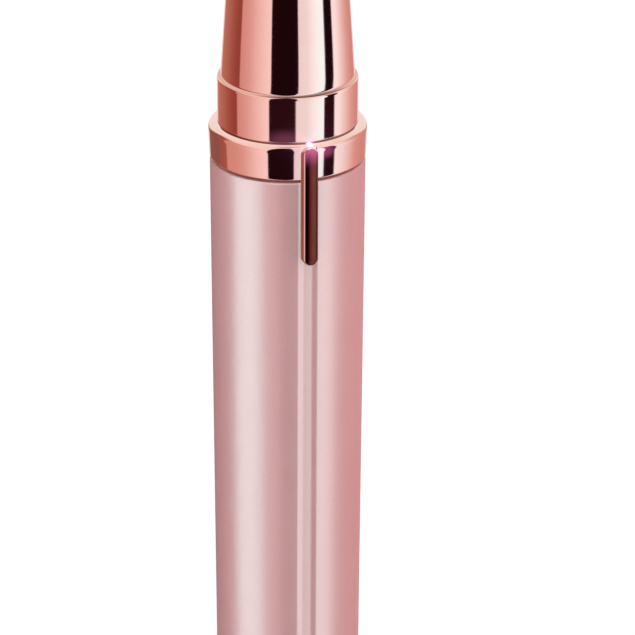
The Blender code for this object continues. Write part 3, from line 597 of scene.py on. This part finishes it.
shoulder = [(7.5 + 0.65 * math.cos(math.radians(a)), 86.45 + 0.65 * math.sin(math.radians(a))) for a in range(0, 91, 6)]
collar_profile = rounded([(6.95, 83.5), (8.045, 83.5, 0.16), (8.148, 86.3)])
collar_profile += shoulder[:-1] + rounded([(7.49, 87.1), (7.31, 87.1, 0.05), (7.29, 86.6), (6.96, 86.2)], steps=5, lead=0.02)
collar = piece("collar_fine", grooved_lathe(collar_profile, lambda r, a, z: channel(r, a, 7.84)), COLLAR_CHROME, "handle",
               ["collar"], tools=[("DIFFERENCE", sweep([LENS_POINT + LENS_DIR * s for s in (-1.2, 2.0)], 0.36, 40))])

# ------------------------------------------------------------------ neck and cap
neck_foot = [(7.12 + 0.12 * math.cos(a), 87.29 - 0.25 * math.sin(a), 0.0) for a in [math.pi / 2 * (1 - k / 14) for k in range(15)]]
neck_profile = rounded([
    (6.2, 80.5), (6.65, 80.5, 0.12), (6.65, 86.7), (7.02, 86.7, 0.05), (7.02, 87.02)] + neck_foot + [(7.24, 92.1, 0.27), (4.95, 92.1, 0.10), (4.95, 97.5, 0.25),
    (3.6, 111.0, 0.20), (2.9, 111.0, 0.08), (2.9, 113.0, 0.18), (2.0, 113.0, 0.12), (2.0, 99.9), (4.25, 99.9), (4.25, 90.5), (6.2, 90.5),
], closed=True)
neck = piece("neck_fine", lathe(neck_profile, 224), NECK_CHROME, "handle", ["neck"],
             tools=[("DIFFERENCE", sweep([LENS_POINT + LENS_DIR * s for s in (-2.4, 1.6)], 0.35, 40))])

cap_outer = [(6.22, 92.20), (6.27, 92.15)] + [(cap_radius(92.42) - 0.15 + 0.15 * math.cos(a), 92.42 - 0.27 * math.sin(a))
                                           for a in [math.pi / 2 * (1 - k / 12) for k in range(13)]] + [(cap_radius(126.4), 126.4)]
cap_line = []
for (r0, z0), (r1, z1) in zip(cap_outer, cap_outer[1:]):
    cap_line.append((r0, z0))
    if z1 - z0 > 20:
        cap_line += [(r0 + (r1 - r0) * k / 8, z0 + (z1 - z0) * k / 8) for k in range(1, 8)]
cap_line.append(cap_outer[-1])
for k in range(1, 33):
    a = math.pi / 2 * (1 - (1 - k / 32) ** 2)
    cap_line.append((4.626 * math.cos(a) ** 0.55 if k < 32 else 0.0, 126.4 + 2.6 * math.sin(a) ** 1.05))
cap_inside = []
for k in range(0, 17):
    a = math.pi / 2 * (1 - (k / 16) ** 2)
    cap_inside.append((3.976 * math.cos(a) ** 0.6 if k else 0.0, 125.8 + 2.4 * math.sin(a) ** 1.05))
cap_shell = piece("cap_shell_fine", lathe(list(reversed(cap_line)) + list(reversed(cap_inside)), 224, closed=False),
                  LOOKS["rose_chrome"], "cap", ["cap_shell"])

cap_liner = piece("cap_liner_fine", lathe(rounded([
    (5.2, 92.75, 0.12), (cap_radius(92.75) - 0.9, 92.75, 0.10), (cap_radius(97.2) - 0.9, 97.2, 0.08), (5.2, 97.2, 0.12)], closed=True, steps=5), 96),
    LOOKS["white_plastic"], "cap", ["cap_liner"])

# ------------------------------------------------------------------ slide switch
def bar_shape():
    levels = rounded([
        (0.76, 7.87), (0.815, 7.97, 0.04), (0.82, 8.20), (0.81, 8.66, 0.16), (0.755, 8.92, 0.06), (0.655, 9.065, 0.04),
        (0.58, 9.105)], steps=4, lead=0.02)
    levels += [(h, 9.20 - 0.095 * (h / 0.58) ** 2) for h in (0.52, 0.46, 0.40, 0.33, 0.26, 0.19, 0.12, 0.05)]
    steps = 28
    bm = bmesh.new()
    rings = []
    for half, r in levels:
        top, foot = BAR_Z1 - half - (0.82 - half) * 0.25 - max(8.92 - r, 0.0) * 0.26, BAR_Z0 + half + (0.82 - half)
        ring = [bm.verts.new((half * math.cos(math.pi * s / steps), -r, top + half * math.sin(math.pi * s / steps)))
                for s in range(steps + 1)]
        ring += [bm.verts.new((half * math.cos(math.pi + math.pi * s / steps), -r, foot + half * math.sin(math.pi + math.pi * s / steps)))
                 for s in range(steps + 1)]
        rings.append(ring)
    join_rings(bm, rings, False)
    bm.faces.new(rings[0])
    bm.faces.new(list(reversed(rings[-1])))
    return bm


# faces take the paler painted-highlight copy on the bevels, the inlay on top, and the darker painted-shade copy on the
# walls
switch_button = piece("switch_button_fine", bar_shape(), [SWITCH_BEVEL_PAINTED_HIGHLIGHT, INLAY, SWITCH_WALL_PAINTED_SHADE], "slider", ["switch_button"],
                      sharp=28.0, tools=[("UNION", box_mesh(-0.45, 0.45, -8.1, -5.2, 78.4, 79.6))], 
                      pick=lambda c: 1 if c.y < -9.06 else 2 if c.y > -8.88 else 0)

# ------------------------------------------------------------------ light
lens_pts = [(LENS_POINT + LENS_DIR * -1.9, 0.28), (LENS_POINT + LENS_DIR * -1.85, 0.32), (LENS_POINT, 0.32)]
for k in range(1, 11):
    a = math.pi / 2 * k / 10
    lens_pts.append((LENS_POINT + LENS_DIR * (0.20 * math.sin(a)), 0.32 * math.cos(a) if k < 10 else 0.0))
led_lens = piece("led_lens_fine", sweep([p for p, _ in lens_pts], [r for _, r in lens_pts], 40), LOOKS["lens_clear"], "handle",
                 ["led_lens"])

# ------------------------------------------------------------------ cutter head
head_profile = rounded([
    (3.2, 111.3), (3.9, 111.3, 0.28), (3.9, 115.9, 0.28), (3.4, 115.9, 0.06), (3.4, 114.2), (1.5, 114.2, 0.08), (1.5, 113.3), (3.2, 113.3)],
    closed=True)
flutes = []
for k in range(12):
    a = 2 * math.pi * k / 12
    flutes.append(("DIFFERENCE", capsule((4.04 * math.cos(a), 4.04 * math.sin(a), 112.45), (4.04 * math.cos(a), 4.04 * math.sin(a), 114.75), 0.26, 20)))
head_base = piece("head_base_fine", lathe(head_profile, 144), LOOKS["rose_chrome"], "head", ["head_base"], tools=flutes)


def round_slot(angle, x0, x1, half, z0, z1, steps=10):
    """Upright prism with round ends along a radius, as a cutter."""
    bm = bmesh.new()
    outline = [(x1 - half + half * math.sin(math.pi * s / steps), -half * math.cos(math.pi * s / steps)) for s in range(steps + 1)]
    outline += [(x0 + half - half * math.sin(math.pi * s / steps), half * math.cos(math.pi * s / steps)) for s in range(steps + 1)]
    c, d = math.cos(angle), math.sin(angle)
    rings = [[bm.verts.new((x * c - y * d, x * d + y * c, z)) for x, y in outline] for z in (z0, z1)]
    join_rings(bm, rings, False)
    bm.faces.new(list(reversed(rings[0])))
    bm.faces.new(rings[1])
    return bm


cover_profile = rounded([
    (2.8, 114.8, 0.08), (3.1, 114.8, 0.08), (3.1, 116.2, 0.06), (3.9, 116.2, 0.08), (3.9, 118.55, 0.25), (3.5, 119.1, 0.5), (0.9, 119.2, 0.3),
    (0.0, 119.2)], steps=6)
cover_profile += [(0.0, 118.6), (3.4, 118.6), (3.4, 116.7), (2.8, 116.7)]
cover_slots = [("DIFFERENCE", round_slot(2 * math.pi * k / 10, 1.0, 2.9, 0.22, 118.2, 119.8)) for k in range(10)]


def open_lathe(profile, segments):
    """Turned solid whose profile touches the axis in the middle of its list of points."""
    cut = next(i for i, p in enumerate(profile) if p[0] < 1e-6)
    bm = bmesh.new()
    order = profile[cut + 1:] + profile[:cut + 1]
    rings = []
    for r, z in order:
        rings.append([bm.verts.new((0.0, 0.0, z))] if r < 1e-6 else
                     [bm.verts.new((r * math.cos(2 * math.pi * i / segments), r * math.sin(2 * math.pi * i / segments), z)) for i in range(segments)])
    join_rings(bm, rings, False)
    return bm


head_cover = piece("head_cover_fine", open_lathe(cover_profile, 144), LOOKS["gold_plate"], "guard", ["head_cover"],
                   tools=cover_slots)

blades = []
for k in range(4):
    blade = box_mesh(0.9, 2.5, -0.18, 0.18, 117.55, 118.05)
    for v in blade.verts:
        if v.co.z > 118 and v.co.y > 0:
            v.co.z, v.co.y = 118.3, -0.12
        elif v.co.z > 118:
            v.co.z = 118.3
    blade.transform(Matrix.Rotation(2 * math.pi * k / 4 + math.pi / 4, 4, "Z"))
    blades.append(("UNION", blade))
blade_rotor = piece("blade_rotor_fine", lathe(rounded([(0.0, 117.42), (1.7, 117.42, 0.05), (1.7, 117.7, 0.05), (0.0, 117.7)]), 64, closed=False),
                    LOOKS["bright_steel"], "blades", ["blade_rotor"], tools=blades)
blade_carrier = piece("blade_carrier_fine", lathe([(0.0, 117.15)] + list(reversed(rounded([
    (1.1, 116.45), (1.1, 115.3, 0.05), (1.9, 115.3, 0.12), (1.9, 117.15, 0.12), (0.3, 117.15)], steps=5))) + [(0.0, 116.45)], 64, closed=False),
    LOOKS["white_plastic"], "blades", ["blade_carrier"])
wave = [(1.3 * math.cos(2 * math.pi * 1.5 * i / 72), 1.3 * math.sin(2 * math.pi * 1.5 * i / 72), 114.55 + 0.45 * i / 72) for i in range(73)]
blade_spring = piece("blade_spring_fine", sweep(wave, 0.11, 10), LOOKS["spring_steel"], "blades", ["blade_spring"])

# ------------------------------------------------------------------ battery
battery_cell = piece("battery_cell_fine", lathe([(0.0, 10.0)] + rounded([
    (0.4, 10.0), (5.25, 10.0, 0.45), (5.25, 53.7, 0.45), (2.2, 53.7, 0.12), (2.2, 53.3), (0.3, 53.3)]) + [(0.0, 53.3)], 128, closed=False),
    LOOKS["cell_wrap"], "battery", ["battery_cell"])
battery_terminal = piece("battery_terminal_fine", lathe([(0.0, 53.6)] + rounded([
    (0.3, 53.6), (1.9, 53.6, 0.04), (1.9, 54.5, 0.16), (0.3, 54.5)]) + [(0.0, 54.5)], 64, closed=False),
    LOOKS["bright_steel"], "battery", ["battery_terminal"])

# ------------------------------------------------------------------ end cap
skirt = spline([(6.15, 0.0), (6.78, 0.16), (7.19, 0.60), (7.31, 1.20)], 8)
cap_low = [(0.0, 0.0), (5.4, 0.0)] + skirt + rounded([(7.31, 1.25), (7.352, 5.0, 0.2), (6.05, 5.0)], steps=7)[1:]
cap_low += rounded([(6.05, 5.0), (6.05, 6.2, 0.06), (5.6, 6.2), (5.6, 7.2), (6.05, 7.2, 0.06), (6.0, 10.5, 0.15), (5.5, 10.5, 0.06), (5.5, 9.6),
                    (5.1, 9.6, 0.06), (5.1, 3.6), (0.0, 3.6)], steps=4)[1:]
end_cap = piece("end_cap_fine", lathe(cap_low, 192, closed=False), LOOKS["pearl_pink"], "base_cap", ["end_cap"],
                tools=[("DIFFERENCE", box_mesh(4.9, 6.5, -1.1, 1.1, 8.9, 11.0))])

ring = bmesh.new()
loops = []
for i in range(96):
    a = 2 * math.pi * i / 96
    loops.append([ring.verts.new(((5.93 + 0.28 * math.cos(b)) * math.cos(a), (5.93 + 0.28 * math.cos(b)) * math.sin(a), 6.7 + 0.34 * math.sin(b)))
                  for b in [2 * math.pi * k / 16 for k in range(16)]])
join_rings(ring, loops, True)
o_ring = piece("end_cap_o_ring_fine", ring, LOOKS["rubber_black"], "base_cap", ["end_cap_o_ring"])

coil = []
for i in range(181):
    t = i / 180
    r, a = 3.75 - 1.55 * t, 2 * math.pi * 4.5 * t
    rise = min(max((t - 0.12) / 0.76, 0.0), 1.0)
    coil.append((r * math.cos(a), r * math.sin(a), 4.85 + 4.5 * (0.12 * t + 0.88 * rise)))
battery_spring = piece("battery_spring_fine", sweep(coil, 0.27, 12), LOOKS["spring_steel"], "base_cap", ["battery_spring"])

# ------------------------------------------------------------------ camera
azimuth, elevation, distance = math.radians(-15.35), math.radians(23.08), 0.520
back = Vector((math.sin(azimuth) * math.cos(elevation), -math.cos(azimuth) * math.cos(elevation), math.sin(elevation)))
lens_camera = bpy.data.cameras.new("camera")
lens_camera.lens, lens_camera.sensor_width, lens_camera.shift_x = 283.2, 36.0, 0.047
camera = bpy.data.objects.new("camera", lens_camera)
scene.collection.objects.link(camera)
camera.location = Vector((0, 0, 0.06505)) + back * distance
camera.rotation_mode = "QUATERNION"
camera.rotation_quaternion = (-back).to_track_quat("-Z", "Y")
scene.camera = camera

# ------------------------------------------------------------------ floor and light
world = bpy.data.worlds.new("soft_white")
world.use_nodes = True
sky = world.node_tree.nodes["Background"]
sky.inputs["Color"].default_value = (1.0, 1.0, 1.0, 1.0)
path = world.node_tree.nodes.new("ShaderNodeLightPath")
level = world.node_tree.nodes.new("ShaderNodeMapRange")
level.inputs["To Min"].default_value, level.inputs["To Max"].default_value = 0.77, 1.14
world.node_tree.links.new(path.outputs["Is Camera Ray"], level.inputs["Value"])
world.node_tree.links.new(level.outputs["Result"], sky.inputs["Strength"])
scene.world = world
world.cycles_visibility.glossy = False

floor_mesh = bpy.data.meshes.new("floor")
fb = bmesh.new()
bmesh.ops.create_grid(fb, x_segments=8, y_segments=8, size=6.0)
fb.to_mesh(floor_mesh)
fb.free()
floor = bpy.data.objects.new("floor", floor_mesh)
scene.collection.objects.link(floor)
paper = Look("floor_paper", Roughness=1.0, Specular_IOR_Level=0.0)
paper.set("Base Color", paper.mix(paper.noise(0.02, 3.0), (0.93, 0.93, 0.93), (0.95, 0.95, 0.95)))
floor_mesh.materials.append(paper.m)
floor.visible_glossy = False


# soft boxes and black flags that only reflections see: one dome round the object with upright bands
BANDS = [  # azimuth in degrees from the camera's side, light
    (-180, (0.96, 0.86, 0.84)), (-158, (0.90, 0.76, 0.74)), (-156, (0.54, 0.25, 0.19)), (-125, (0.46, 0.19, 0.145)),
    (-112, (0.40, 0.13, 0.10)), (-98, (0.33, 0.09, 0.078)), (-90.5, (0.31, 0.085, 0.072)),
    (-89.3, (0.72, 0.42, 0.40)), (-80, (0.75, 0.465, 0.45)), (-67, (0.83, 0.57, 0.58)), (-56, (0.91, 0.74, 0.775)),
    (-45, (0.985, 0.877, 0.90)), (-36, (1.03, 0.97, 1.04)), (-31, (1.05, 1.02, 1.12)),
    (-29.8, (0.012, 0.003, 0.005)), (15.6, (0.012, 0.003, 0.005)),
    (16.8, (0.965, 1.08, 1.24)), (31, (0.95, 1.18, 1.29)), (42, (1.07, 1.39, 1.64)), (53, (1.055, 1.60, 1.80)), (62.4, (1.04, 1.62, 1.82)),
    (63.6, (0.012, 0.003, 0.005)), (81, (0.012, 0.003, 0.005)),
    (82.2, (1.07, 1.32, 1.55)), (91, (1.09, 1.27, 1.40)), (106, (0.93, 0.90, 0.96)), (122, (0.81, 0.56, 0.55)),
    (140, (0.72, 0.39, 0.38)), (157, (0.66, 0.33, 0.33)), (159, (0.90, 0.76, 0.74)), (180, (0.96, 0.86, 0.84)),
]
COLLAR_BANDS = [
    (-180, (0.96, 0.86, 0.84)), (-158, (0.90, 0.76, 0.74)), (-156, (0.30, 0.14, 0.12)), (-125, (0.28, 0.13, 0.11)), (-112, (0.37, 0.14, 0.117)),
    (-100.6, (0.42, 0.15, 0.12)),
    (-99.4, (0.72, 0.40, 0.36)), (-83, (0.73, 0.43, 0.40)), (-68, (0.78, 0.52, 0.50)), (-54, (0.90, 0.73, 0.75)),
    (-43, (1.00, 0.90, 0.93)), (-34, (1.03, 1.0, 1.08)), (-29.4, (1.05, 1.02, 1.12)),
    (-28.4, (0.014, 0.003, 0.005)), (8.6, (0.014, 0.003, 0.005)),
    (9.8, (0.93, 1.0, 1.2)), (22, (0.93, 1.08, 1.24)), (36, (1.0, 1.35, 1.6)), (53.0, (1.0, 1.50, 1.82)),
    (54.2, (0.016, 0.003, 0.006)), (71.2, (0.016, 0.003, 0.006)),
    (72.6, (1.06, 1.30, 1.5)), (87, (1.0, 1.11, 1.26)), (99.5, (0.895, 0.825, 0.866)), (114, (0.81, 0.49, 0.48)),
    (132, (0.70, 0.40, 0.38)), (157, (0.66, 0.33, 0.33)), (159, (0.90, 0.76, 0.74)), (180, (0.96, 0.86, 0.84)),
]
PLAIN_BANDS = [
    (-180, (0.9, 0.9, 0.9)), (-157, (0.8, 0.8, 0.8)), (-155, (0.34, 0.34, 0.34)), (-95, (0.16, 0.16, 0.16)),
    (-92, (0.55, 0.55, 0.55)), (-31, (1.05, 1.05, 1.05)), (-28, (0.02, 0.02, 0.02)), (15, (0.02, 0.02, 0.02)),
    (18, (1.1, 1.1, 1.1)), (62, (1.3, 1.3, 1.3)), (65, (0.02, 0.02, 0.02)), (81, (0.02, 0.02, 0.02)),
    (84, (1.1, 1.1, 1.1)), (125, (0.5, 0.5, 0.5)), (156, (0.34, 0.34, 0.34)), (158, (0.8, 0.8, 0.8)), (180, (0.9, 0.9, 0.9)),
]
NECK_BANDS = [({15.6: 12.4, 16.8: 13.6, 62.4: 60.6, 63.6: 61.8}.get(a, a), (0.024, 0.006, 0.009) if c[0] < 0.02 else c) for a, c in BANDS]
BAR_BANDS = [(-180, (0.06, 0.015, 0.015)), (-158, (0.06, 0.015, 0.015))] + BANDS[2:-4] + [
    (110, (0.36, 0.17, 0.16)), (118, (0.30, 0.13, 0.13)), (155, (0.30, 0.13, 0.13)), (180, (0.06, 0.015, 0.015))]
LEAN_HIGH = [(-180, 0), (-90, 0), (-28, 2), (18, 2.5), (67, 4.2), (86, 4.0), (140, 1), (180, 0)]


def dome_look(name, bands, leans, roof, tone=(1.09, 0.97, 0.95), behind=(1.04, 1.0, 0.98)):
    k = Look(name)
    k.t.nodes.remove(k.bsdf)
    out = next(n for n in k.t.nodes if n.type == "OUTPUT_MATERIAL")
    glow = k.t.nodes.new("ShaderNodeEmission")
    clear = k.t.nodes.new("ShaderNodeBsdfTransparent")
    both = k.t.nodes.new("ShaderNodeAddShader")
    k.link(glow.outputs[0], both.inputs[0])
    k.link(clear.outputs[0], both.inputs[1])
    k.link(both.outputs[0], out.inputs["Surface"])
    unit = k.t.nodes.new("ShaderNodeVectorMath")
    unit.operation = "NORMALIZE"
    k.link(k.mm, unit.inputs[0])
    sep = k.t.nodes.new("ShaderNodeSeparateXYZ")
    k.link(unit.outputs["Vector"], sep.inputs[0])
    x, y, z = sep.outputs
    # azimuth of the point on the dome, from the camera's side, as a share of a full turn
    turn = k.math("ARCTAN2", x, k.math("MULTIPLY", y, -1.0))
    share = k.math("DIVIDE", k.math("SUBTRACT", turn, azimuth), 2 * math.pi)
    share = k.math("FRACT", k.math("ADD", share, 0.5))
    if leans:
        grey = k.ramp(share, [((a + 180) / 360, (v / 10, v / 10, v / 10)) for a, v in leans])
        apart = k.t.nodes.new("ShaderNodeSeparateColor")
        k.link(grey, apart.inputs[0])
        rise = k.math("MULTIPLY", k.math("ARCSINE", z), 180 / math.pi)
        lean = k.math("MULTIPLY", k.math("MULTIPLY", apart.outputs[0], 10 / 360), k.span(rise, -18.6, -15.6, 0.0, 1.0, smooth=True))
        share = k.math("SUBTRACT", share, lean)
    around = k.ramp(share, [((a + 180) / 360, c) for a, c in bands])
    # a soft roof over the bands, which may start higher or stay away in front, and the bright wall and ceiling behind the object
    front_low, front_high, side_low, side_high = roof
    side = k.span(k.math("ABSOLUTE", k.math("SUBTRACT", share, 173 / 360)), 24 / 360, 34 / 360, 0.0, 1.0, smooth=True)
    over_side = k.math("MULTIPLY", side, k.span(z, side_low, side_high, 0.0, 1.0, smooth=True))
    over = k.math("MAXIMUM", over_side, k.span(z, front_low, front_high, 0.0, 1.0, smooth=True))
    around = k.mix(over, around, tone)
    ahead = Vector((-math.sin(azimuth), math.cos(azimuth), 0.5)).normalized()
    dot = k.t.nodes.new("ShaderNodeVectorMath")
    dot.operation = "DOT_PRODUCT"
    dot.inputs[1].default_value = tuple(ahead)
    k.link(unit.outputs["Vector"], dot.inputs[0])
    above = k.math("MULTIPLY", k.span(dot.outputs["Value"], 0.635, 0.745, 0.0, 1.0, smooth=True), k.span(z, -0.20, 0.0, 0.0, 1.0, smooth=True))
    k.link(k.mix(above, around, behind), glow.inputs["Color"])
    glow.inputs["Strength"].default_value = 1.0
    return k.m


def dome(name, radius, look, receivers):
    mesh = bpy.data.meshes.new(name)
    db = bmesh.new()
    bmesh.ops.create_uvsphere(db, u_segments=96, v_segments=48, radius=radius)
    bmesh.ops.reverse_faces(db, faces=db.faces)
    db.to_mesh(mesh)
    db.free()
    mesh.materials.append(look)
    obj = bpy.data.objects.new(name, mesh)
    obj.location = (0, 0, 0.08)
    scene.collection.objects.link(obj)
    for flag in ("visible_camera", "visible_diffuse", "visible_shadow", "visible_transmission", "visible_volume_scatter"):
        setattr(obj, flag, False)
    obj.light_linking.receiver_collection = receivers
    return obj


def group(name, members):
    coll = bpy.data.collections.new(name)
    for o in members:
        coll.objects.link(o)
    return coll


pieces = [o for o in scene.objects if o.type == "MESH" and o is not floor]
satin = [barrel, end_cap]
receivers = group("satin_pieces", satin)
blockers = group("object_pieces", pieces)
shine_blockers = group("object_but_bar", [o for o in pieces if o is not switch_button])
rosy = [o for o in pieces if o not in satin and any(m in (LOOKS["rose_chrome"], NECK_CHROME, COLLAR_CHROME, INLAY) for m in o.data.materials)]
own = [neck, collar, switch_button]
dome("studio_dome", 0.42, dome_look("studio_cards", BANDS, LEAN_HIGH, (0.94, 0.99, 0.70, 0.94)), group("rose_pieces", [o for o in rosy if o not in own]))
dome("neck_dome", 0.425, dome_look("neck_cards", NECK_BANDS, LEAN_HIGH, (1.1, 1.2, 0.45, 0.80)), group("neck_piece", [neck]))
dome("collar_dome", 0.43, dome_look("collar_cards", COLLAR_BANDS, None, (0.965, 0.995, 0.45, 0.75), (1.02, 1.06, 1.08), (1.0, 1.12, 1.14)), group("collar_piece", [collar]))
dome("bar_dome", 0.415, dome_look("bar_cards", BAR_BANDS, LEAN_HIGH, (0.94, 0.99, 0.70, 0.94)), group("bar_piece", [switch_button]))
dome("plain_dome", 0.44, dome_look("plain_cards", PLAIN_BANDS, None, (0.72, 0.94, 0.72, 0.94)), group("other_pieces", [o for o in pieces if o not in satin + rosy + own]))
# the mirror surfaces show the soft boxes, and not one another
seen_in_mirrors = [head_base, head_cover, blade_rotor, blade_carrier, blade_spring, battery_cell, battery_terminal, battery_spring]
for o in pieces:
    o.visible_glossy = o in seen_in_mirrors


def strip(name, at, width, radiance, shine, colour, reach=0.32, low=-0.30, high=0.42):
    """Upright soft box for the satin pieces, at an azimuth from the camera's side: it either shines on them or fills them."""
    data = bpy.data.lights.new(name, "AREA")
    data.shape, data.size, data.size_y = "RECTANGLE", width, high - low
    data.energy = radiance * math.pi * width * (high - low)
    data.color = colour
    lamp = bpy.data.objects.new(name, data)
    scene.collection.objects.link(lamp)
    a = azimuth + math.radians(at)
    lamp.location = (reach * math.sin(a), -reach * math.cos(a), (low + high) / 2)
    lamp.rotation_euler = (math.pi / 2, 0, a)
    lamp.light_linking.receiver_collection = receivers
    lamp.light_linking.blocker_collection = shine_blockers if shine else blockers
    lamp.visible_diffuse, lamp.visible_glossy = not shine, shine
    return lamp


strip("shine_left", -62, 0.29, 3.22, True, (0.70, 1.0, 1.0))
strip("shine_rosy", -20, 0.06, 2.1, True, (1.0, 0.6, 0.6))
strip("shine_right", 50, 0.28, 2.42, True, (0.80, 1.0, 1.0))
strip("fill_left", -82, 0.30, 0.5, False, (1.0, 0.84, 0.84))
strip("fill_right", 104, 0.30, 2.2, False, (1.0, 0.86, 0.86))
ceiling = strip("shine_top", 0, 0.9, 5.0, True, (0.85, 1.0, 1.0))
ceiling.data.size_y, ceiling.data.energy = 0.9, 3.4 * math.pi * 0.9 * 0.9
ceiling.location = (0, 0.05, 0.55)
ceiling.rotation_euler = (0, 0, 0)

# light that only the floor takes, with the object's soft shadow in it
sun_data = bpy.data.lights.new("floor_light", "SUN")
sun_data.energy, sun_data.angle = 1.15, math.radians(70)
sun = bpy.data.objects.new("floor_light", sun_data)
scene.collection.objects.link(sun)
sun.rotation_euler = (math.radians(18), math.radians(-14), 0)
ground = bpy.data.collections.new("floor_only")
ground.objects.link(floor)
sun.light_linking.receiver_collection = ground
sun.light_linking.blocker_collection = blockers

# ------------------------------------------------------------------ colour and the light's glare
scene.view_settings.view_transform = "Standard"
scene.view_settings.look = "None"
scene.use_nodes = True
tree = scene.node_tree
tree.nodes.clear()
layers = tree.nodes.new("CompositorNodeRLayers")
halo = tree.nodes.new("CompositorNodeGlare")
halo.glare_type, halo.quality = "FOG_GLOW", "HIGH"
halo.inputs["Threshold"].default_value = 2.6
halo.inputs["Strength"].default_value = 1.0
halo.inputs["Size"].default_value = 0.40
halo.inputs["Tint"].default_value = (1.0, 0.34, 0.62, 1.0)
star = tree.nodes.new("CompositorNodeGlare")
star.glare_type, star.quality = "STREAKS", "HIGH"
star.inputs["Threshold"].default_value = 2.6
star.inputs["Strength"].default_value = 0.035
star.inputs["Streaks"].default_value = 6
star.inputs["Streaks Angle"].default_value = math.radians(12)
star.inputs["Fade"].default_value = 0.84
star.inputs["Iterations"].default_value = 3
star.inputs["Tint"].default_value = (0.9, 0.6, 1.0, 1.0)
out = tree.nodes.new("CompositorNodeComposite")
tree.links.new(layers.outputs["Image"], halo.inputs["Image"])
tree.links.new(halo.outputs["Image"], star.inputs["Image"])
tree.links.new(star.outputs["Image"], out.inputs["Image"])
